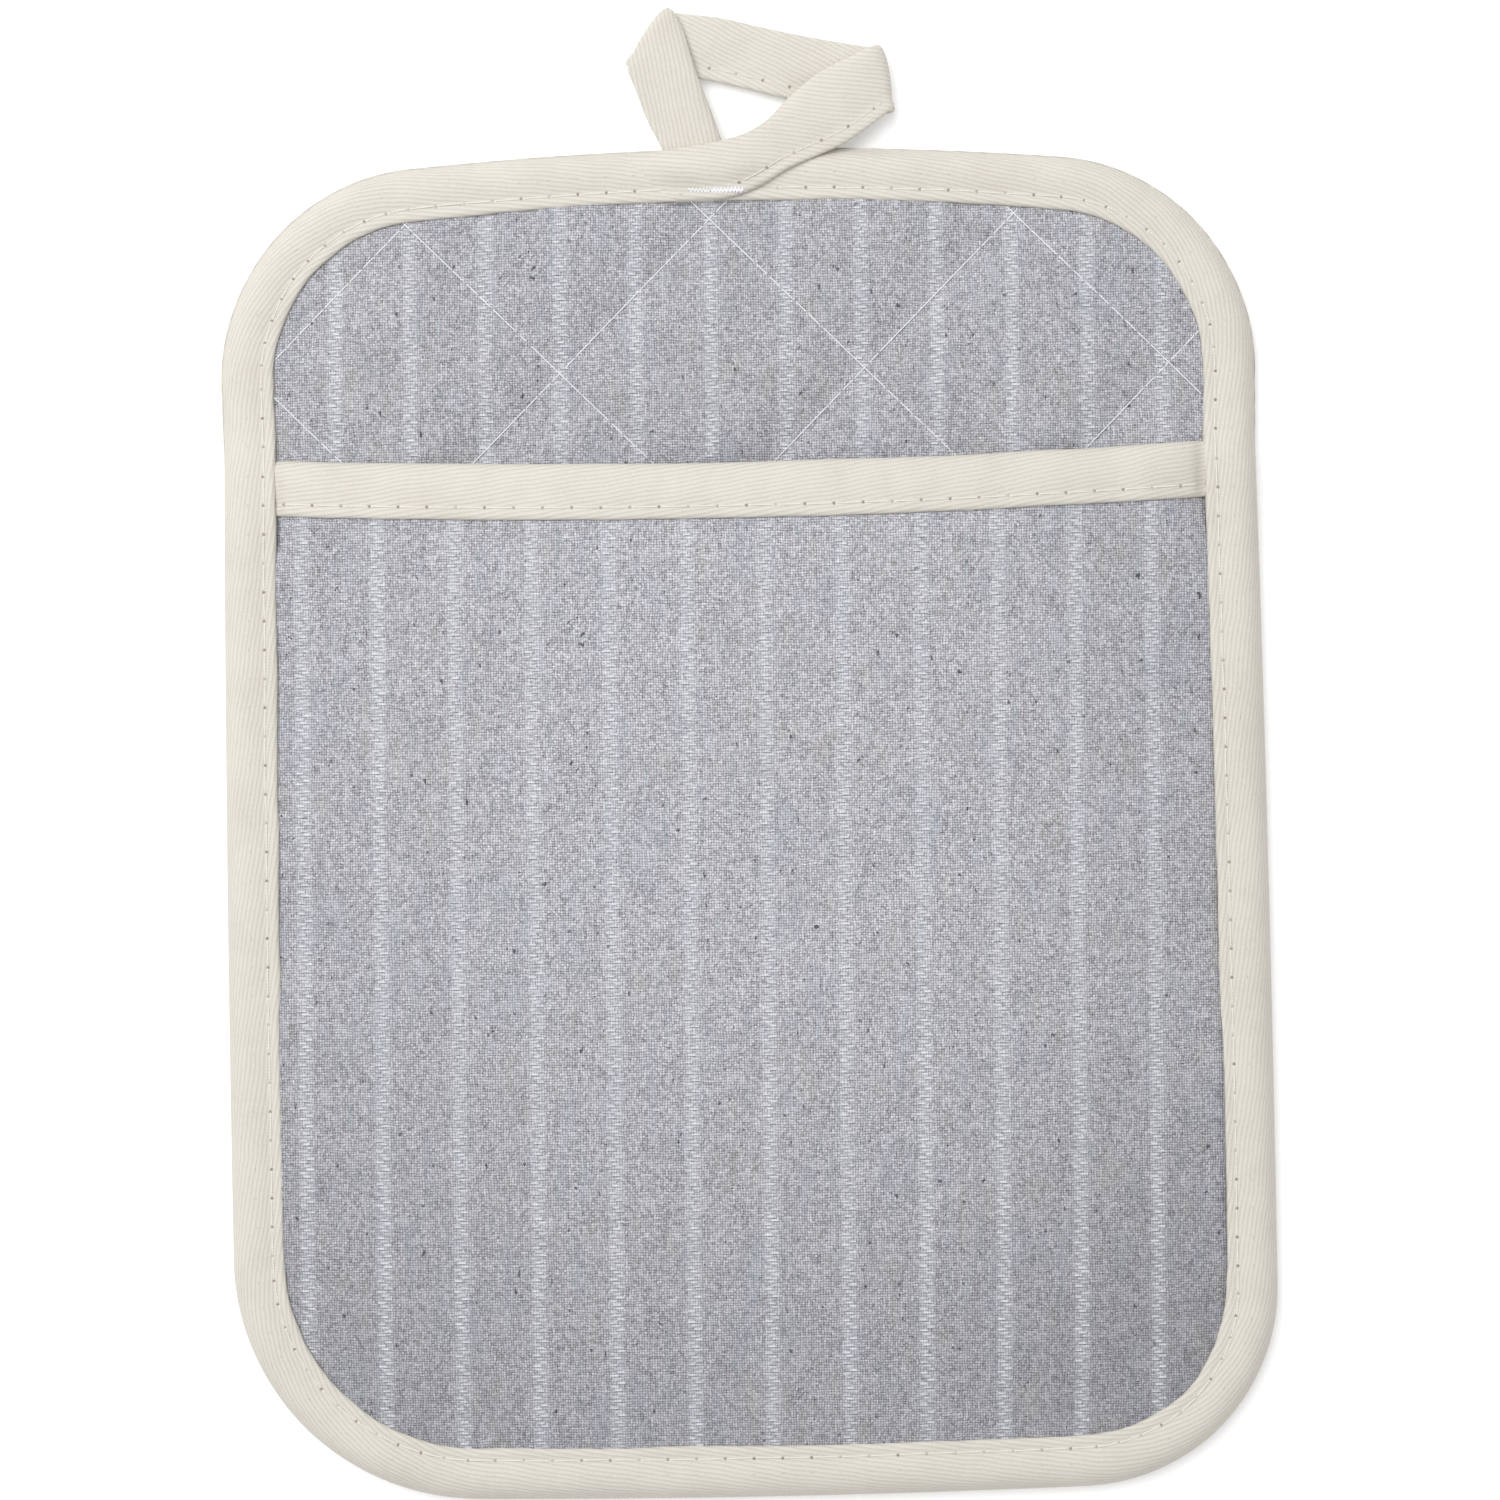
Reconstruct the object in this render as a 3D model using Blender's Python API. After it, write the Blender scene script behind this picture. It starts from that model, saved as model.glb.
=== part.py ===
"""Pocket oven mitt: a quilted pad with a hand pocket, a bound rim and a hanging loop.

It lies on its back with the pocket up. Units are metres, +Z is up, +Y points to the hanging
loop and +X to the right of someone who looks down on the pocket. The origin is on the flat
back face, in the middle of the pad.

The outline is a rounded rectangle whose four edges bow out a little. Everything is laid out
on the plain rounded rectangle first, and placed() then moves each point out to the bowed one,
so that all the layers keep to the same outline.
"""
import math

import bmesh
import bpy
from mathutils import Vector

MM = 0.001

# Outline of the pad
WIDTH = 175.8 * MM              # across the pad, halfway up, without the bows
LENGTH = 221.8 * MM             # between the top and bottom edges, without the bows
FLARE = 3.6 * MM                # the bottom edge is this much wider than the top edge
SIDE_BOW = 0.8 * MM             # how far each edge swells out at its middle
TOP_BOW = 6.3 * MM
BOTTOM_BOW = 1.8 * MM
BOW_FULL = 12.0 * MM            # the bows hold this far in from the edge
BOW_NONE = 44.0 * MM            # and have faded out this far in
RADIUS_TOP = 32.5 * MM
RADIUS_BOTTOM_RIGHT = 32.5 * MM
RADIUS_BOTTOM_LEFT = 40.0 * MM

# Thicknesses of the layers
GAP = 0.3 * MM                  # clearance between pieces that touch
CLOTH = 0.5 * MM
LINING = 0.4 * MM
WADDING_RIM = 1.4 * MM          # wadding squeezed by the binding
WADDING_MIDDLE = 4.6 * MM       # wadding where it is free
ALLOWANCE = 0.9 * MM            # pocket cloth and lining sewn in under the binding
CROWN_RUN = 16.0 * MM           # the layers reach their full height this far in from the binding

# Binding round the rim
BINDING_FACE = 9.5 * MM         # width that shows on the front, and again on the back
BINDING_TAPE = 0.9 * MM         # thickness of the folded tape
BINDING_WRAP = 0.9 * MM         # tape round the outside of the rim
BINDING_CORNER = 1.5 * MM       # rounding of the rim's outer edges

# Pocket
MOUTH_DROP = 45.1 * MM          # from the pad's top corners down to the pocket's mouth
MOUTH_SAG = 2.2 * MM            # the top edge dips by this at its middle
POCKET_CLEARANCE = 0.5 * MM     # from the pocket's edge to the rim binding, seen from above
POCKET_ARCH = 6.0 * MM          # how far the pocket stands off the pad at the mouth
ARCH_RUN = 70.0 * MM            # the arch builds up over this distance from the bottom seam
MOUTH_FACE = 9.5 * MM           # width of the mouth's binding
MOUTH_TAPE = 0.7 * MM
MOUTH_WRAP = 0.9 * MM
MOUTH_CORNER = 0.6 * MM
TUCK = 0.3 * MM                 # from the cloth's edge to the binding's fold round it

# Sewing
THREAD = 0.5 * MM               # thickness of a topstitched seam
QUILT_THREAD = 0.35 * MM
QUILT_LIFT = 0.17 * MM          # the second set of quilting lines lies this much higher
STITCH_INSET = 2.0 * MM         # a topstitched seam runs this far from the tape's edge
QUILT_SPACING = 36.6 * MM       # between neighbouring lines of quilting
QUILT_CROSSING = (-4.4 * MM, 105.0 * MM)    # one place where two lines cross
QUILT_MARGIN = 1.5 * MM         # the lines stop this far short of the binding

# Hanging loop: the binding's tail, folded over twice. Corners of each strand, seen from above
LOOP_TAPE = 1.2 * MM            # thickness of one strand
TIP_HEIGHT = 0.3 * MM           # the loop droops until its tip is this far off the surface
RIM_CLEARANCE = 1.2 * MM        # from the top edge of the pad to the line it folds on
DRAWN_HINGE_Y = 118.4 * MM      # the fold line of the points below, which move with the rim
FOLD_WALL = 1.2 * MM            # thickness of the tape where it turns back over itself
FRONT_STRAND = [(21.7, 119.4), (27.6, 123.4), (26.7, 129.7), (25.3, 134.6),
                (22.4, 132.5), (10.0, 125.1), (7.0, 122.1), (-0.6, 119.4)]
CROSS_STRAND = [(-18.5, 131.6), (-5.7, 128.9), (9.8, 125.3), (27.3, 123.7),
                (25.1, 134.4), (7.3, 137.7), (-10.5, 141.3)]
SIDE_STRAND = [(-13.3, 119.4), (-2.5, 119.4), (-5.7, 128.9), (-9.3, 139.7),
               (-10.7, 141.4), (-18.5, 131.6), (-16.2, 125.3)]
RIGHT_FOLD = [(27.4, 123.8), (25.2, 134.2)]
LEFT_FOLD = [(-10.9, 141.0), (-18.2, 131.7)]
ROOT = [(-10.0, 109.0), (-0.6, 108.6), (15.4, 115.6), (15.2, 116.2), (-10.0, 116.2)]
BARTACK = [(-7.8, 109.9), (1.5, 109.9), (1.5, 111.1), (-7.8, 111.1)]
BARTACK_HEIGHT = 0.5 * MM
SEAM_START_X = 9.5 * MM         # the rim's seam begins to the right of the root
SEAM_END_X = -12.5 * MM         # and comes back to the left of it

# Fineness of the faceted surfaces
CORNER_STEPS = 8
SIDE_STEPS = 4
TOP_STEPS = 6
POCKET_COLUMNS = 20
POCKET_ARC_ROWS = 5
POCKET_ROWS = 6
QUILT_STEP = 1.0 * MM           # spacing at which a line of quilting is followed
INVERSE_ROUNDS = 12

# Values that follow from the ones above
HALF_WIDTH = WIDTH / 2
HALF_LENGTH = LENGTH / 2
CORNERS = [(1, 1, RADIUS_TOP), (-1, 1, RADIUS_TOP),
           (-1, -1, RADIUS_BOTTOM_LEFT), (1, -1, RADIUS_BOTTOM_RIGHT)]
MOUTH_Y = HALF_LENGTH - MOUTH_DROP
POCKET_INSET = BINDING_FACE + POCKET_CLEARANCE
POCKET_BOTTOM = -(HALF_LENGTH - POCKET_INSET)
SANDWICH_RIM = BINDING_TAPE + GAP + CLOTH + GAP + WADDING_RIM + GAP + CLOTH
BINDING_HEIGHT = SANDWICH_RIM + GAP + ALLOWANCE + GAP + BINDING_TAPE
THREAD_ROOM = GAP + QUILT_THREAD + QUILT_LIFT + GAP
RIM_TOP = HALF_LENGTH + TOP_BOW
HINGE_Y = RIM_TOP + RIM_CLEARANCE
LOOP_SHIFT = HINGE_Y - DRAWN_HINGE_Y
STRAND_PITCH = LOOP_TAPE + GAP
FRONT_LEVEL = BINDING_HEIGHT + GAP
SIDE_LEVEL = FRONT_LEVEL - STRAND_PITCH
CROSS_LEVEL = SIDE_LEVEL - STRAND_PITCH
LOOP_REACH = max(y for x, y in CROSS_STRAND) * MM - DRAWN_HINGE_Y
LOOP_DROOP = (CROSS_LEVEL - TIP_HEIGHT) / LOOP_REACH


# ---------------------------------------------------------------- outline and layers

def smooth(share):
    """Rises from 0 to 1 with a level start and end."""
    share = min(1.0, max(0.0, share))
    return share * share * (3.0 - 2.0 * share)


def corner_radius(x, y):
    """Outer radius of the pad's corner that is nearest to a point."""
    if y >= 0:
        return RADIUS_TOP
    return RADIUS_BOTTOM_LEFT if x < 0 else RADIUS_BOTTOM_RIGHT


def bow_share(inside):
    """How much of an edge's bow a point takes that lies this far inside the edge."""
    return min(1.0, max(0.0, (BOW_NONE - inside) / (BOW_NONE - BOW_FULL)))


def placed(x, y, z=0.0):
    """Moves a point of the plain rounded rectangle out to the flared, bowed outline."""
    taper = -FLARE / 2 * y / LENGTH
    swell = SIDE_BOW * (1.0 - (y / HALF_LENGTH) ** 2)
    sideways = (taper + swell) * bow_share(HALF_WIDTH - abs(x))
    bow = TOP_BOW if y > 0 else BOTTOM_BOW
    endways = bow * (1.0 - (x / HALF_WIDTH) ** 2) * bow_share(HALF_LENGTH - abs(y))
    return Vector((x + math.copysign(sideways, x), y + math.copysign(endways, y), z))


def unplaced(x, y):
    """The plain point that placed() moves to a given place."""
    plain_x, plain_y = x, y
    for _ in range(INVERSE_ROUNDS):
        moved = placed(plain_x, plain_y)
        plain_x += x - moved.x
        plain_y += y - moved.y
    return plain_x, plain_y


def outline(inset):
    """The rounded rectangle, anticlockwise from its right side, drawn in by inset."""
    points = []
    for number, (side_x, side_y, radius) in enumerate(CORNERS):
        centre_x = side_x * (HALF_WIDTH - radius)
        centre_y = side_y * (HALF_LENGTH - radius)
        for step in range(CORNER_STEPS + 1):
            turn = math.radians(90.0 * (number + step / CORNER_STEPS))
            points.append((centre_x + (radius - inset) * math.cos(turn),
                           centre_y + (radius - inset) * math.sin(turn)))
        next_x, next_y, next_radius = CORNERS[(number + 1) % len(CORNERS)]
        steps = TOP_STEPS if side_y == next_y else SIDE_STEPS
        turn = math.radians(90.0 * (number + 1))
        goal = (next_x * (HALF_WIDTH - next_radius) + (next_radius - inset) * math.cos(turn),
                next_y * (HALF_LENGTH - next_radius) + (next_radius - inset) * math.sin(turn))
        last = points[-1]
        for step in range(1, steps):
            share = step / steps
            points.append((last[0] + (goal[0] - last[0]) * share,
                           last[1] + (goal[1] - last[1]) * share))
    return points


def depth(x, y):
    """Distance of a point inside the rim of the plain rounded rectangle."""
    radius = corner_radius(x, y)
    past_x = abs(x) - (HALF_WIDTH - radius)
    past_y = abs(y) - (HALF_LENGTH - radius)
    if past_x > 0 and past_y > 0:
        return radius - math.hypot(past_x, past_y)
    return min(HALF_WIDTH - abs(x), HALF_LENGTH - abs(y))


def crown(x, y):
    """0 beside the binding and 1 where the layers have their full height."""
    return smooth((depth(x, y) - BINDING_FACE - POCKET_CLEARANCE) / CROWN_RUN)


def back_low(x, y):
    return (BINDING_TAPE + GAP) * (1.0 - crown(x, y))


def wadding_low(x, y):
    return back_low(x, y) + CLOTH + GAP


def wadding_high(x, y):
    return wadding_low(x, y) + WADDING_RIM + (WADDING_MIDDLE - WADDING_RIM) * crown(x, y)


def front_low(x, y):
    return wadding_high(x, y) + GAP


def front_high(x, y):
    return front_low(x, y) + CLOTH


# ---------------------------------------------------------------- making solids

def make_object(name, mesh_data, colour, roughness, smooth_faces=True):
    """Adds a named object with its own material, seen from outside."""
    mesh = bpy.data.meshes.new(name)
    mesh_data.normal_update()
    mesh_data.to_mesh(mesh)
    mesh_data.free()
    if smooth_faces:
        mesh.shade_smooth()
        mesh.set_sharp_from_angle(angle=math.radians(40.0))
    material = bpy.data.materials.new(name + "_material")
    material.use_nodes = True
    shader = material.node_tree.nodes["Principled BSDF"]
    shader.inputs["Base Color"].default_value = (*colour, 1.0)
    shader.inputs["Roughness"].default_value = roughness
    shader.inputs["Metallic"].default_value = 0.0
    mesh.materials.append(material)
    made = bpy.data.objects.new(name, mesh)
    bpy.context.scene.collection.objects.link(made)
    return made


def add_slab(mesh_data, points, faces, place=placed):
    """Adds a sheet of material: points are (x, y, low, high), faces turn anticlockwise."""
    tops = [mesh_data.verts.new(place(x, y, high)) for x, y, low, high in points]
    bottoms = [mesh_data.verts.new(place(x, y, low)) for x, y, low, high in points]
    edges = {}
    for face in faces:
        mesh_data.faces.new([tops[i] for i in face])
        mesh_data.faces.new([bottoms[i] for i in reversed(face)])
        for first, second in zip(face, face[1:] + face[:1]):
            edges[(first, second)] = True
    for first, second in edges:
        if (second, first) not in edges:
            mesh_data.faces.new([tops[second], tops[first], bottoms[first], bottoms[second]])


def add_sweep(mesh_data, stations, closed=False):
    """Joins matching closed profiles in turn; an open run gets a cap at each end."""
    rings = [[mesh_data.verts.new(point) for point in station] for station in stations]
    count = len(rings[0])
    pairs = list(zip(rings, rings[1:])) + ([(rings[-1], rings[0])] if closed else [])
    for here, ahead in pairs:
        for i in range(count):
            j = (i + 1) % count
            mesh_data.faces.new([here[i], ahead[i], ahead[j], here[j]])
    if not closed:
        mesh_data.faces.new(rings[0])
        mesh_data.faces.new(list(reversed(rings[-1])))
    bmesh.ops.recalc_face_normals(mesh_data, faces=mesh_data.faces)


def thread_stations(path, thickness):
    """Square profiles of a thread that lies along a path of points."""
    half = thickness / 2
    stations = []
    for number, point in enumerate(path):
        before = path[max(0, number - 1)]
        after = path[min(len(path) - 1, number + 1)]
        along = (after - before).normalized()
        across = along.cross(Vector((0, 0, 1))).normalized() * half
        upward = Vector((0, 0, half))
        stations.append([point + across + upward, point - across + upward,
                         point - across - upward, point + across - upward])
    return stations


def unite(target, mesh_data):
    """Joins a second mesh to an object with a Boolean union."""
    guide = make_object(target.name + "_guide", mesh_data, (0.5, 0.5, 0.5), 0.5, False)
    guide.hide_render = True
    guide.display_type = "WIRE"
    union = target.modifiers.new("union", "BOOLEAN")
    union.operation = "UNION"
    union.solver = "EXACT"
    union.object = guide


# ---------------------------------------------------------------- pad

def make_layer(name, edge_inset, low, high, colour):
    """A layer of the pad: rings that follow the rim round a level middle."""
    insets = [edge_inset, POCKET_INSET]
    insets += [POCKET_INSET + CROWN_RUN * share for share in (0.25, 0.5, 0.75, 1.0)]
    points = []
    for inset in insets:
        points += [(x, y, low(x, y), high(x, y)) for x, y in outline(inset)]
    count = len(outline(0.0))
    faces = []
    for ring in range(len(insets) - 1):
        for i in range(count):
            j = (i + 1) % count
            faces.append([ring * count + i, ring * count + j,
                          (ring + 1) * count + j, (ring + 1) * count + i])
    last = (len(insets) - 1) * count
    faces.append([last + i for i in range(count)])
    mesh_data = bmesh.new()
    add_slab(mesh_data, points, faces)
    return make_object(name, mesh_data, colour, 0.9)


def make_edge_binding(colour):
    """Tape folded over the whole rim, as a channel that is open towards the middle."""
    top = BINDING_HEIGHT
    inner_low = BINDING_TAPE
    inner_high = top - BINDING_TAPE
    profile = [(BINDING_FACE, 0.0), (BINDING_CORNER, 0.0), (BINDING_CORNER * 0.25, 0.6 * MM),
               (0.0, BINDING_CORNER), (0.0, top - BINDING_CORNER),
               (BINDING_CORNER * 0.25, top - 0.6 * MM), (BINDING_CORNER, top),
               (BINDING_FACE, top), (BINDING_FACE, inner_high),
               (BINDING_WRAP, inner_high), (BINDING_WRAP, inner_low),
               (BINDING_FACE, inner_low)]
    rings = [outline(inset) for inset, z in profile]
    stations = []
    for i in range(len(rings[0])):
        stations.append([placed(*ring[i], z) for ring, (inset, z) in zip(rings, profile)])
    mesh_data = bmesh.new()
    add_sweep(mesh_data, stations, closed=True)
    return make_object("edge_binding", mesh_data, colour, 0.8)


def make_pocket_allowance(colour):
    """The edge of the pocket that is sewn in between the front cloth and the binding."""
    outer = outline(BINDING_WRAP + GAP)
    inner = outline(BINDING_FACE - GAP)
    kept = [i for i, (x, y) in enumerate(outer) if y < MOUTH_Y - TUCK]
    start = next(n for n in range(len(kept)) if kept[n] - kept[n - 1] != 1)
    run = kept[start:] + kept[:start]
    low = SANDWICH_RIM + GAP
    points = [(*ring[i], low, low + ALLOWANCE) for ring in (outer, inner) for i in run]
    count = len(run)
    faces = [[i, i + 1, count + i + 1, count + i] for i in range(count - 1)]
    mesh_data = bmesh.new()
    add_slab(mesh_data, points, faces)
    return make_object("pocket_seam_allowance", mesh_data, colour, 0.9)


def make_edge_topstitch(colour):
    """The seam that holds the binding, from one side of the loop round to the other."""
    height = BINDING_HEIGHT + GAP + THREAD / 2
    inset = BINDING_FACE - STITCH_INSET
    ring = outline(inset)
    split = next(i for i, (x, y) in enumerate(ring) if x < 0)
    run = ring[split:] + ring[:split]
    run = [(x, y) for x, y in run if y < 0 or not SEAM_END_X < x < SEAM_START_X]
    top = HALF_LENGTH - inset
    run = [(SEAM_END_X, top)] + run + [(SEAM_START_X, top)]
    path = [placed(x, y, height) for x, y in run]
    mesh_data = bmesh.new()
    add_sweep(mesh_data, thread_stations(path, THREAD))
    return make_object("edge_topstitch", mesh_data, colour, 0.6)


def quilt_line(through_x, through_y, rise, level):
    """Path of one line of quilting, at 45 degrees, or None if no other line would cross it."""
    inside = []
    count = int((HALF_LENGTH + HALF_WIDTH) / QUILT_STEP)
    for number in range(-count, count + 1):
        x = through_x + number * QUILT_STEP
        y = through_y + rise * number * QUILT_STEP
        if abs(x) < HALF_WIDTH and abs(y) < HALF_LENGTH + TOP_BOW:
            plain = unplaced(x, y)
            if depth(*plain) > BINDING_FACE + QUILT_MARGIN:
                inside.append(plain)
    if len(inside) * QUILT_STEP * math.sqrt(2.0) < QUILT_SPACING:
        return None
    kept = [inside[0]]
    for x, y in inside[1:-1]:
        far = math.hypot(x - kept[-1][0], y - kept[-1][1]) > CROWN_RUN / 4
        if far and crown(x, y) < 1.0:
            kept.append((x, y))
    kept.append(inside[-1])
    return [placed(x, y, front_high(x, y) + level) for x, y in kept]


def make_quilting_thread(colour):
    """Two sets of parallel lines of stitching that cross to make diamonds."""
    pitch = QUILT_SPACING * math.sqrt(2.0)
    count = int(2 * (HALF_LENGTH + HALF_WIDTH) / pitch) + 1
    level = GAP + QUILT_THREAD / 2
    sets = []
    for rise, lift in ((1, 0.0), (-1, QUILT_LIFT)):
        mesh_data = bmesh.new()
        for number in range(-count, count + 1):
            path = quilt_line(QUILT_CROSSING[0] + number * pitch, QUILT_CROSSING[1],
                              rise, level + lift)
            if path:
                add_sweep(mesh_data, thread_stations(path, QUILT_THREAD))
        sets.append(mesh_data)
    thread = make_object("quilting_thread", sets[0], colour, 0.6, False)
    unite(thread, sets[1])
    return thread


# ---------------------------------------------------------------- pocket

def pocket_span(x_side, y):
    """Half width of the pocket at a height, on the left (-1) or the right (1)."""
    radius = corner_radius(x_side, y)
    below = -(HALF_LENGTH - radius) - y
    if below <= 0:
        return HALF_WIDTH - POCKET_INSET
    inner = radius - POCKET_INSET
    return HALF_WIDTH - radius + math.sqrt(max(0.0, inner * inner - below * below))


def pocket_point(across, y):
    """Plain point of the pocket: across runs from -1 to 1, y is its height at the sides."""
    share = (y - POCKET_BOTTOM) / (MOUTH_Y - POCKET_BOTTOM)
    x = across * pocket_span(across, y)
    return x, y - MOUTH_SAG * (1.0 - across * across) * share


def pocket_lift(across, y):
    """Height of the pocket's inside over the front cloth's face."""
    share = smooth((y - POCKET_BOTTOM) / ARCH_RUN)
    return THREAD_ROOM + POCKET_ARCH * (1.0 - across * across) * share


def lining_low(across, y):
    x, plain_y = pocket_point(across, y)
    fold = (MOUTH_TAPE + GAP) * smooth((y - POCKET_BOTTOM) / ARCH_RUN)
    return front_high(x, plain_y) + pocket_lift(across, y) + fold


def pocket_rows(last):
    """Heights of the rows of points: close in the round corners, wide apart above them."""
    radius = max(RADIUS_BOTTOM_LEFT, RADIUS_BOTTOM_RIGHT) - POCKET_INSET
    rows = []
    for step in range(POCKET_ARC_ROWS):
        turn = math.radians(90.0 * step / POCKET_ARC_ROWS)
        rows.append(POCKET_BOTTOM + radius * (1.0 - math.cos(turn)))
    first = POCKET_BOTTOM + radius
    rows += [first + (last - first) * step / POCKET_ROWS for step in range(POCKET_ROWS + 1)]
    return rows


def pocket_columns():
    return [-1.0 + 2.0 * step / POCKET_COLUMNS for step in range(POCKET_COLUMNS + 1)]


def make_pocket_sheet(name, above, thickness, colour):
    """A layer of the pocket, held a set height above the lining's underside."""
    rows = pocket_rows(MOUTH_Y - MOUTH_WRAP - TUCK)
    columns = pocket_columns()
    points = []
    for y in rows:
        for across in columns:
            low = lining_low(across, y) + above
            points.append((*pocket_point(across, y), low, low + thickness))
    width = len(columns)
    faces = []
    for row in range(len(rows) - 1):
        for column in range(width - 1):
            i = row * width + column
            faces.append([i, i + 1, i + width + 1, i + width])
    mesh_data = bmesh.new()
    add_slab(mesh_data, points, faces)
    return make_object(name, mesh_data, colour, 0.9)


def make_pocket_binding(colour):
    """Tape folded over the pocket's mouth, with a leg inside and a leg outside."""
    height = MOUTH_TAPE + GAP + LINING + GAP + CLOTH + GAP + MOUTH_TAPE
    low, high = MOUTH_TAPE, height - MOUTH_TAPE
    profile = [(MOUTH_FACE, 0.0), (MOUTH_CORNER, 0.0), (0.0, MOUTH_CORNER),
               (0.0, height - MOUTH_CORNER), (MOUTH_CORNER, height), (MOUTH_FACE, height),
               (MOUTH_FACE, high), (MOUTH_WRAP, high), (MOUTH_WRAP, low), (MOUTH_FACE, low)]
    stations = []
    for across in pocket_columns():
        station = []
        for below, z in profile:
            y = MOUTH_Y - below
            base = lining_low(across, y) - GAP - MOUTH_TAPE
            station.append(placed(*pocket_point(across, y), base + z))
        stations.append(station)
    mesh_data = bmesh.new()
    add_sweep(mesh_data, stations)
    return make_object("pocket_binding", mesh_data, colour, 0.8)


def make_pocket_topstitch(colour):
    """The seam along the lower edge of the mouth's binding."""
    y = MOUTH_Y - MOUTH_FACE + STITCH_INSET
    above = LINING + GAP + CLOTH + GAP + MOUTH_TAPE + GAP + THREAD / 2
    path = [placed(*pocket_point(across, y), lining_low(across, y) + above)
            for across in pocket_columns()]
    mesh_data = bmesh.new()
    add_sweep(mesh_data, thread_stations(path, THREAD))
    return make_object("pocket_topstitch", mesh_data, colour, 0.6)


# ---------------------------------------------------------------- hanging loop

def as_drawn(x, y, z):
    """The loop's points are where they are drawn, and need no bow."""
    return Vector((x, y, z))


def loop_fall(y):
    """How far the loop has sunk at a height."""
    return LOOP_DROOP * max(0.0, y - HINGE_Y)


def add_strand(mesh_data, corners, level, thickness):
    """A flat run of tape; level is the height of its underside before it droops."""
    points = []
    for x, y in corners:
        x, y = x * MM, y * MM + LOOP_SHIFT
        low = level - loop_fall(y)
        points.append((x, y, low, low + thickness))
    add_slab(mesh_data, points, [list(range(len(points)))], as_drawn)


def fold_corners(line):
    """Plan of the wall of tape along a fold line; the loop's inside is on the line's left."""
    (x0, y0), (x1, y1) = line
    wall = FOLD_WALL / MM / math.hypot(x1 - x0, y1 - y0)
    in_x, in_y = -(y1 - y0) * wall, (x1 - x0) * wall
    return [(x0, y0), (x1, y1), (x1 + in_x, y1 + in_y), (x0 + in_x, y0 + in_y)]


def make_hanging_loop(colour):
    """Front strand to the right, cross strand back to the left, side strand down again."""
    mesh_data = bmesh.new()
    add_strand(mesh_data, FRONT_STRAND, FRONT_LEVEL, LOOP_TAPE)
    add_strand(mesh_data, CROSS_STRAND, CROSS_LEVEL, LOOP_TAPE)
    add_strand(mesh_data, SIDE_STRAND, SIDE_LEVEL, LOOP_TAPE)
    loop = make_object("hanging_loop", mesh_data, colour, 0.8, False)
    folds = bmesh.new()
    for line, level in ((RIGHT_FOLD, FRONT_LEVEL), (LEFT_FOLD, SIDE_LEVEL)):
        low = CROSS_LEVEL + GAP
        add_strand(folds, fold_corners(line), low, level + LOOP_TAPE - GAP - low)
    unite(loop, folds)
    return loop


def make_loop_topstitch(colour):
    """The seam near the lower edge of the front strand."""
    start, end = (Vector((*corner, 0.0)) * MM for corner in FRONT_STRAND[:2])
    along = (end - start).normalized()
    inward = Vector((-along.y, along.x, 0.0)) * STITCH_INSET
    path = []
    for corner, slide in ((start, 0.0), (end, -STITCH_INSET)):
        spot = corner + inward + along * slide
        spot.y += LOOP_SHIFT
        spot.z = FRONT_LEVEL + LOOP_TAPE + GAP + THREAD / 2 - loop_fall(spot.y)
        path.append(spot)
    mesh_data = bmesh.new()
    add_sweep(mesh_data, thread_stations(path, THREAD))
    return make_object("loop_topstitch", mesh_data, colour, 0.6)


def make_flat_piece(name, corners, level, thickness, colour):
    """A small flat piece on the rim, under the loop."""
    mesh_data = bmesh.new()
    add_strand(mesh_data, corners, level, thickness)
    return make_object(name, mesh_data, colour, 0.8, False)


# ---------------------------------------------------------------- the whole mitt

def add_pivot(name, place, pieces):
    """An empty on a joint's axis that carries the pieces that move with it."""
    pivot = bpy.data.objects.new(name, None)
    pivot.location = place
    bpy.context.scene.collection.objects.link(pivot)
    bpy.context.view_layer.update()
    for piece in pieces:
        piece.parent = pivot
        piece.matrix_parent_inverse = pivot.matrix_world.inverted()


def build():
    for old in list(bpy.data.objects):
        bpy.data.objects.remove(old, do_unlink=True)

    grey = (0.45, 0.45, 0.48)
    plain_grey = (0.42, 0.42, 0.44)
    cream = (0.78, 0.74, 0.67)
    thread_white = (0.86, 0.85, 0.82)
    cotton = (0.80, 0.78, 0.72)

    edge = BINDING_WRAP + GAP
    make_layer("back_panel", edge, back_low, lambda x, y: back_low(x, y) + CLOTH, grey)
    make_layer("wadding", edge, wadding_low, wadding_high, cotton)
    make_layer("front_panel", edge, front_low, front_high, grey)
    make_pocket_allowance(grey)
    make_edge_binding(cream)
    make_edge_topstitch(thread_white)
    make_quilting_thread(thread_white)
    make_flat_piece("loop_root", ROOT, FRONT_LEVEL, LOOP_TAPE, cream)
    make_flat_piece("loop_bartack", BARTACK, FRONT_LEVEL + LOOP_TAPE + GAP, BARTACK_HEIGHT,
                    thread_white)

    pocket = [make_pocket_sheet("pocket_lining", 0.0, LINING, plain_grey),
              make_pocket_sheet("pocket_panel", LINING + GAP, CLOTH, grey),
              make_pocket_binding(cream),
              make_pocket_topstitch(thread_white)]
    seam_z = SANDWICH_RIM + THREAD_ROOM + LINING + GAP / 2
    add_pivot("pocket_hinge", (0.0, POCKET_BOTTOM - BOTTOM_BOW, seam_z), pocket)

    loop = [make_hanging_loop(cream), make_loop_topstitch(thread_white)]
    add_pivot("loop_hinge", (0.0, HINGE_Y, FRONT_LEVEL + LOOP_TAPE / 2), loop)


build()
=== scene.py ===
"""Looks of the quilted pocket mitt: cloth, tapes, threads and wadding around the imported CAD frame."""
import math

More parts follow.
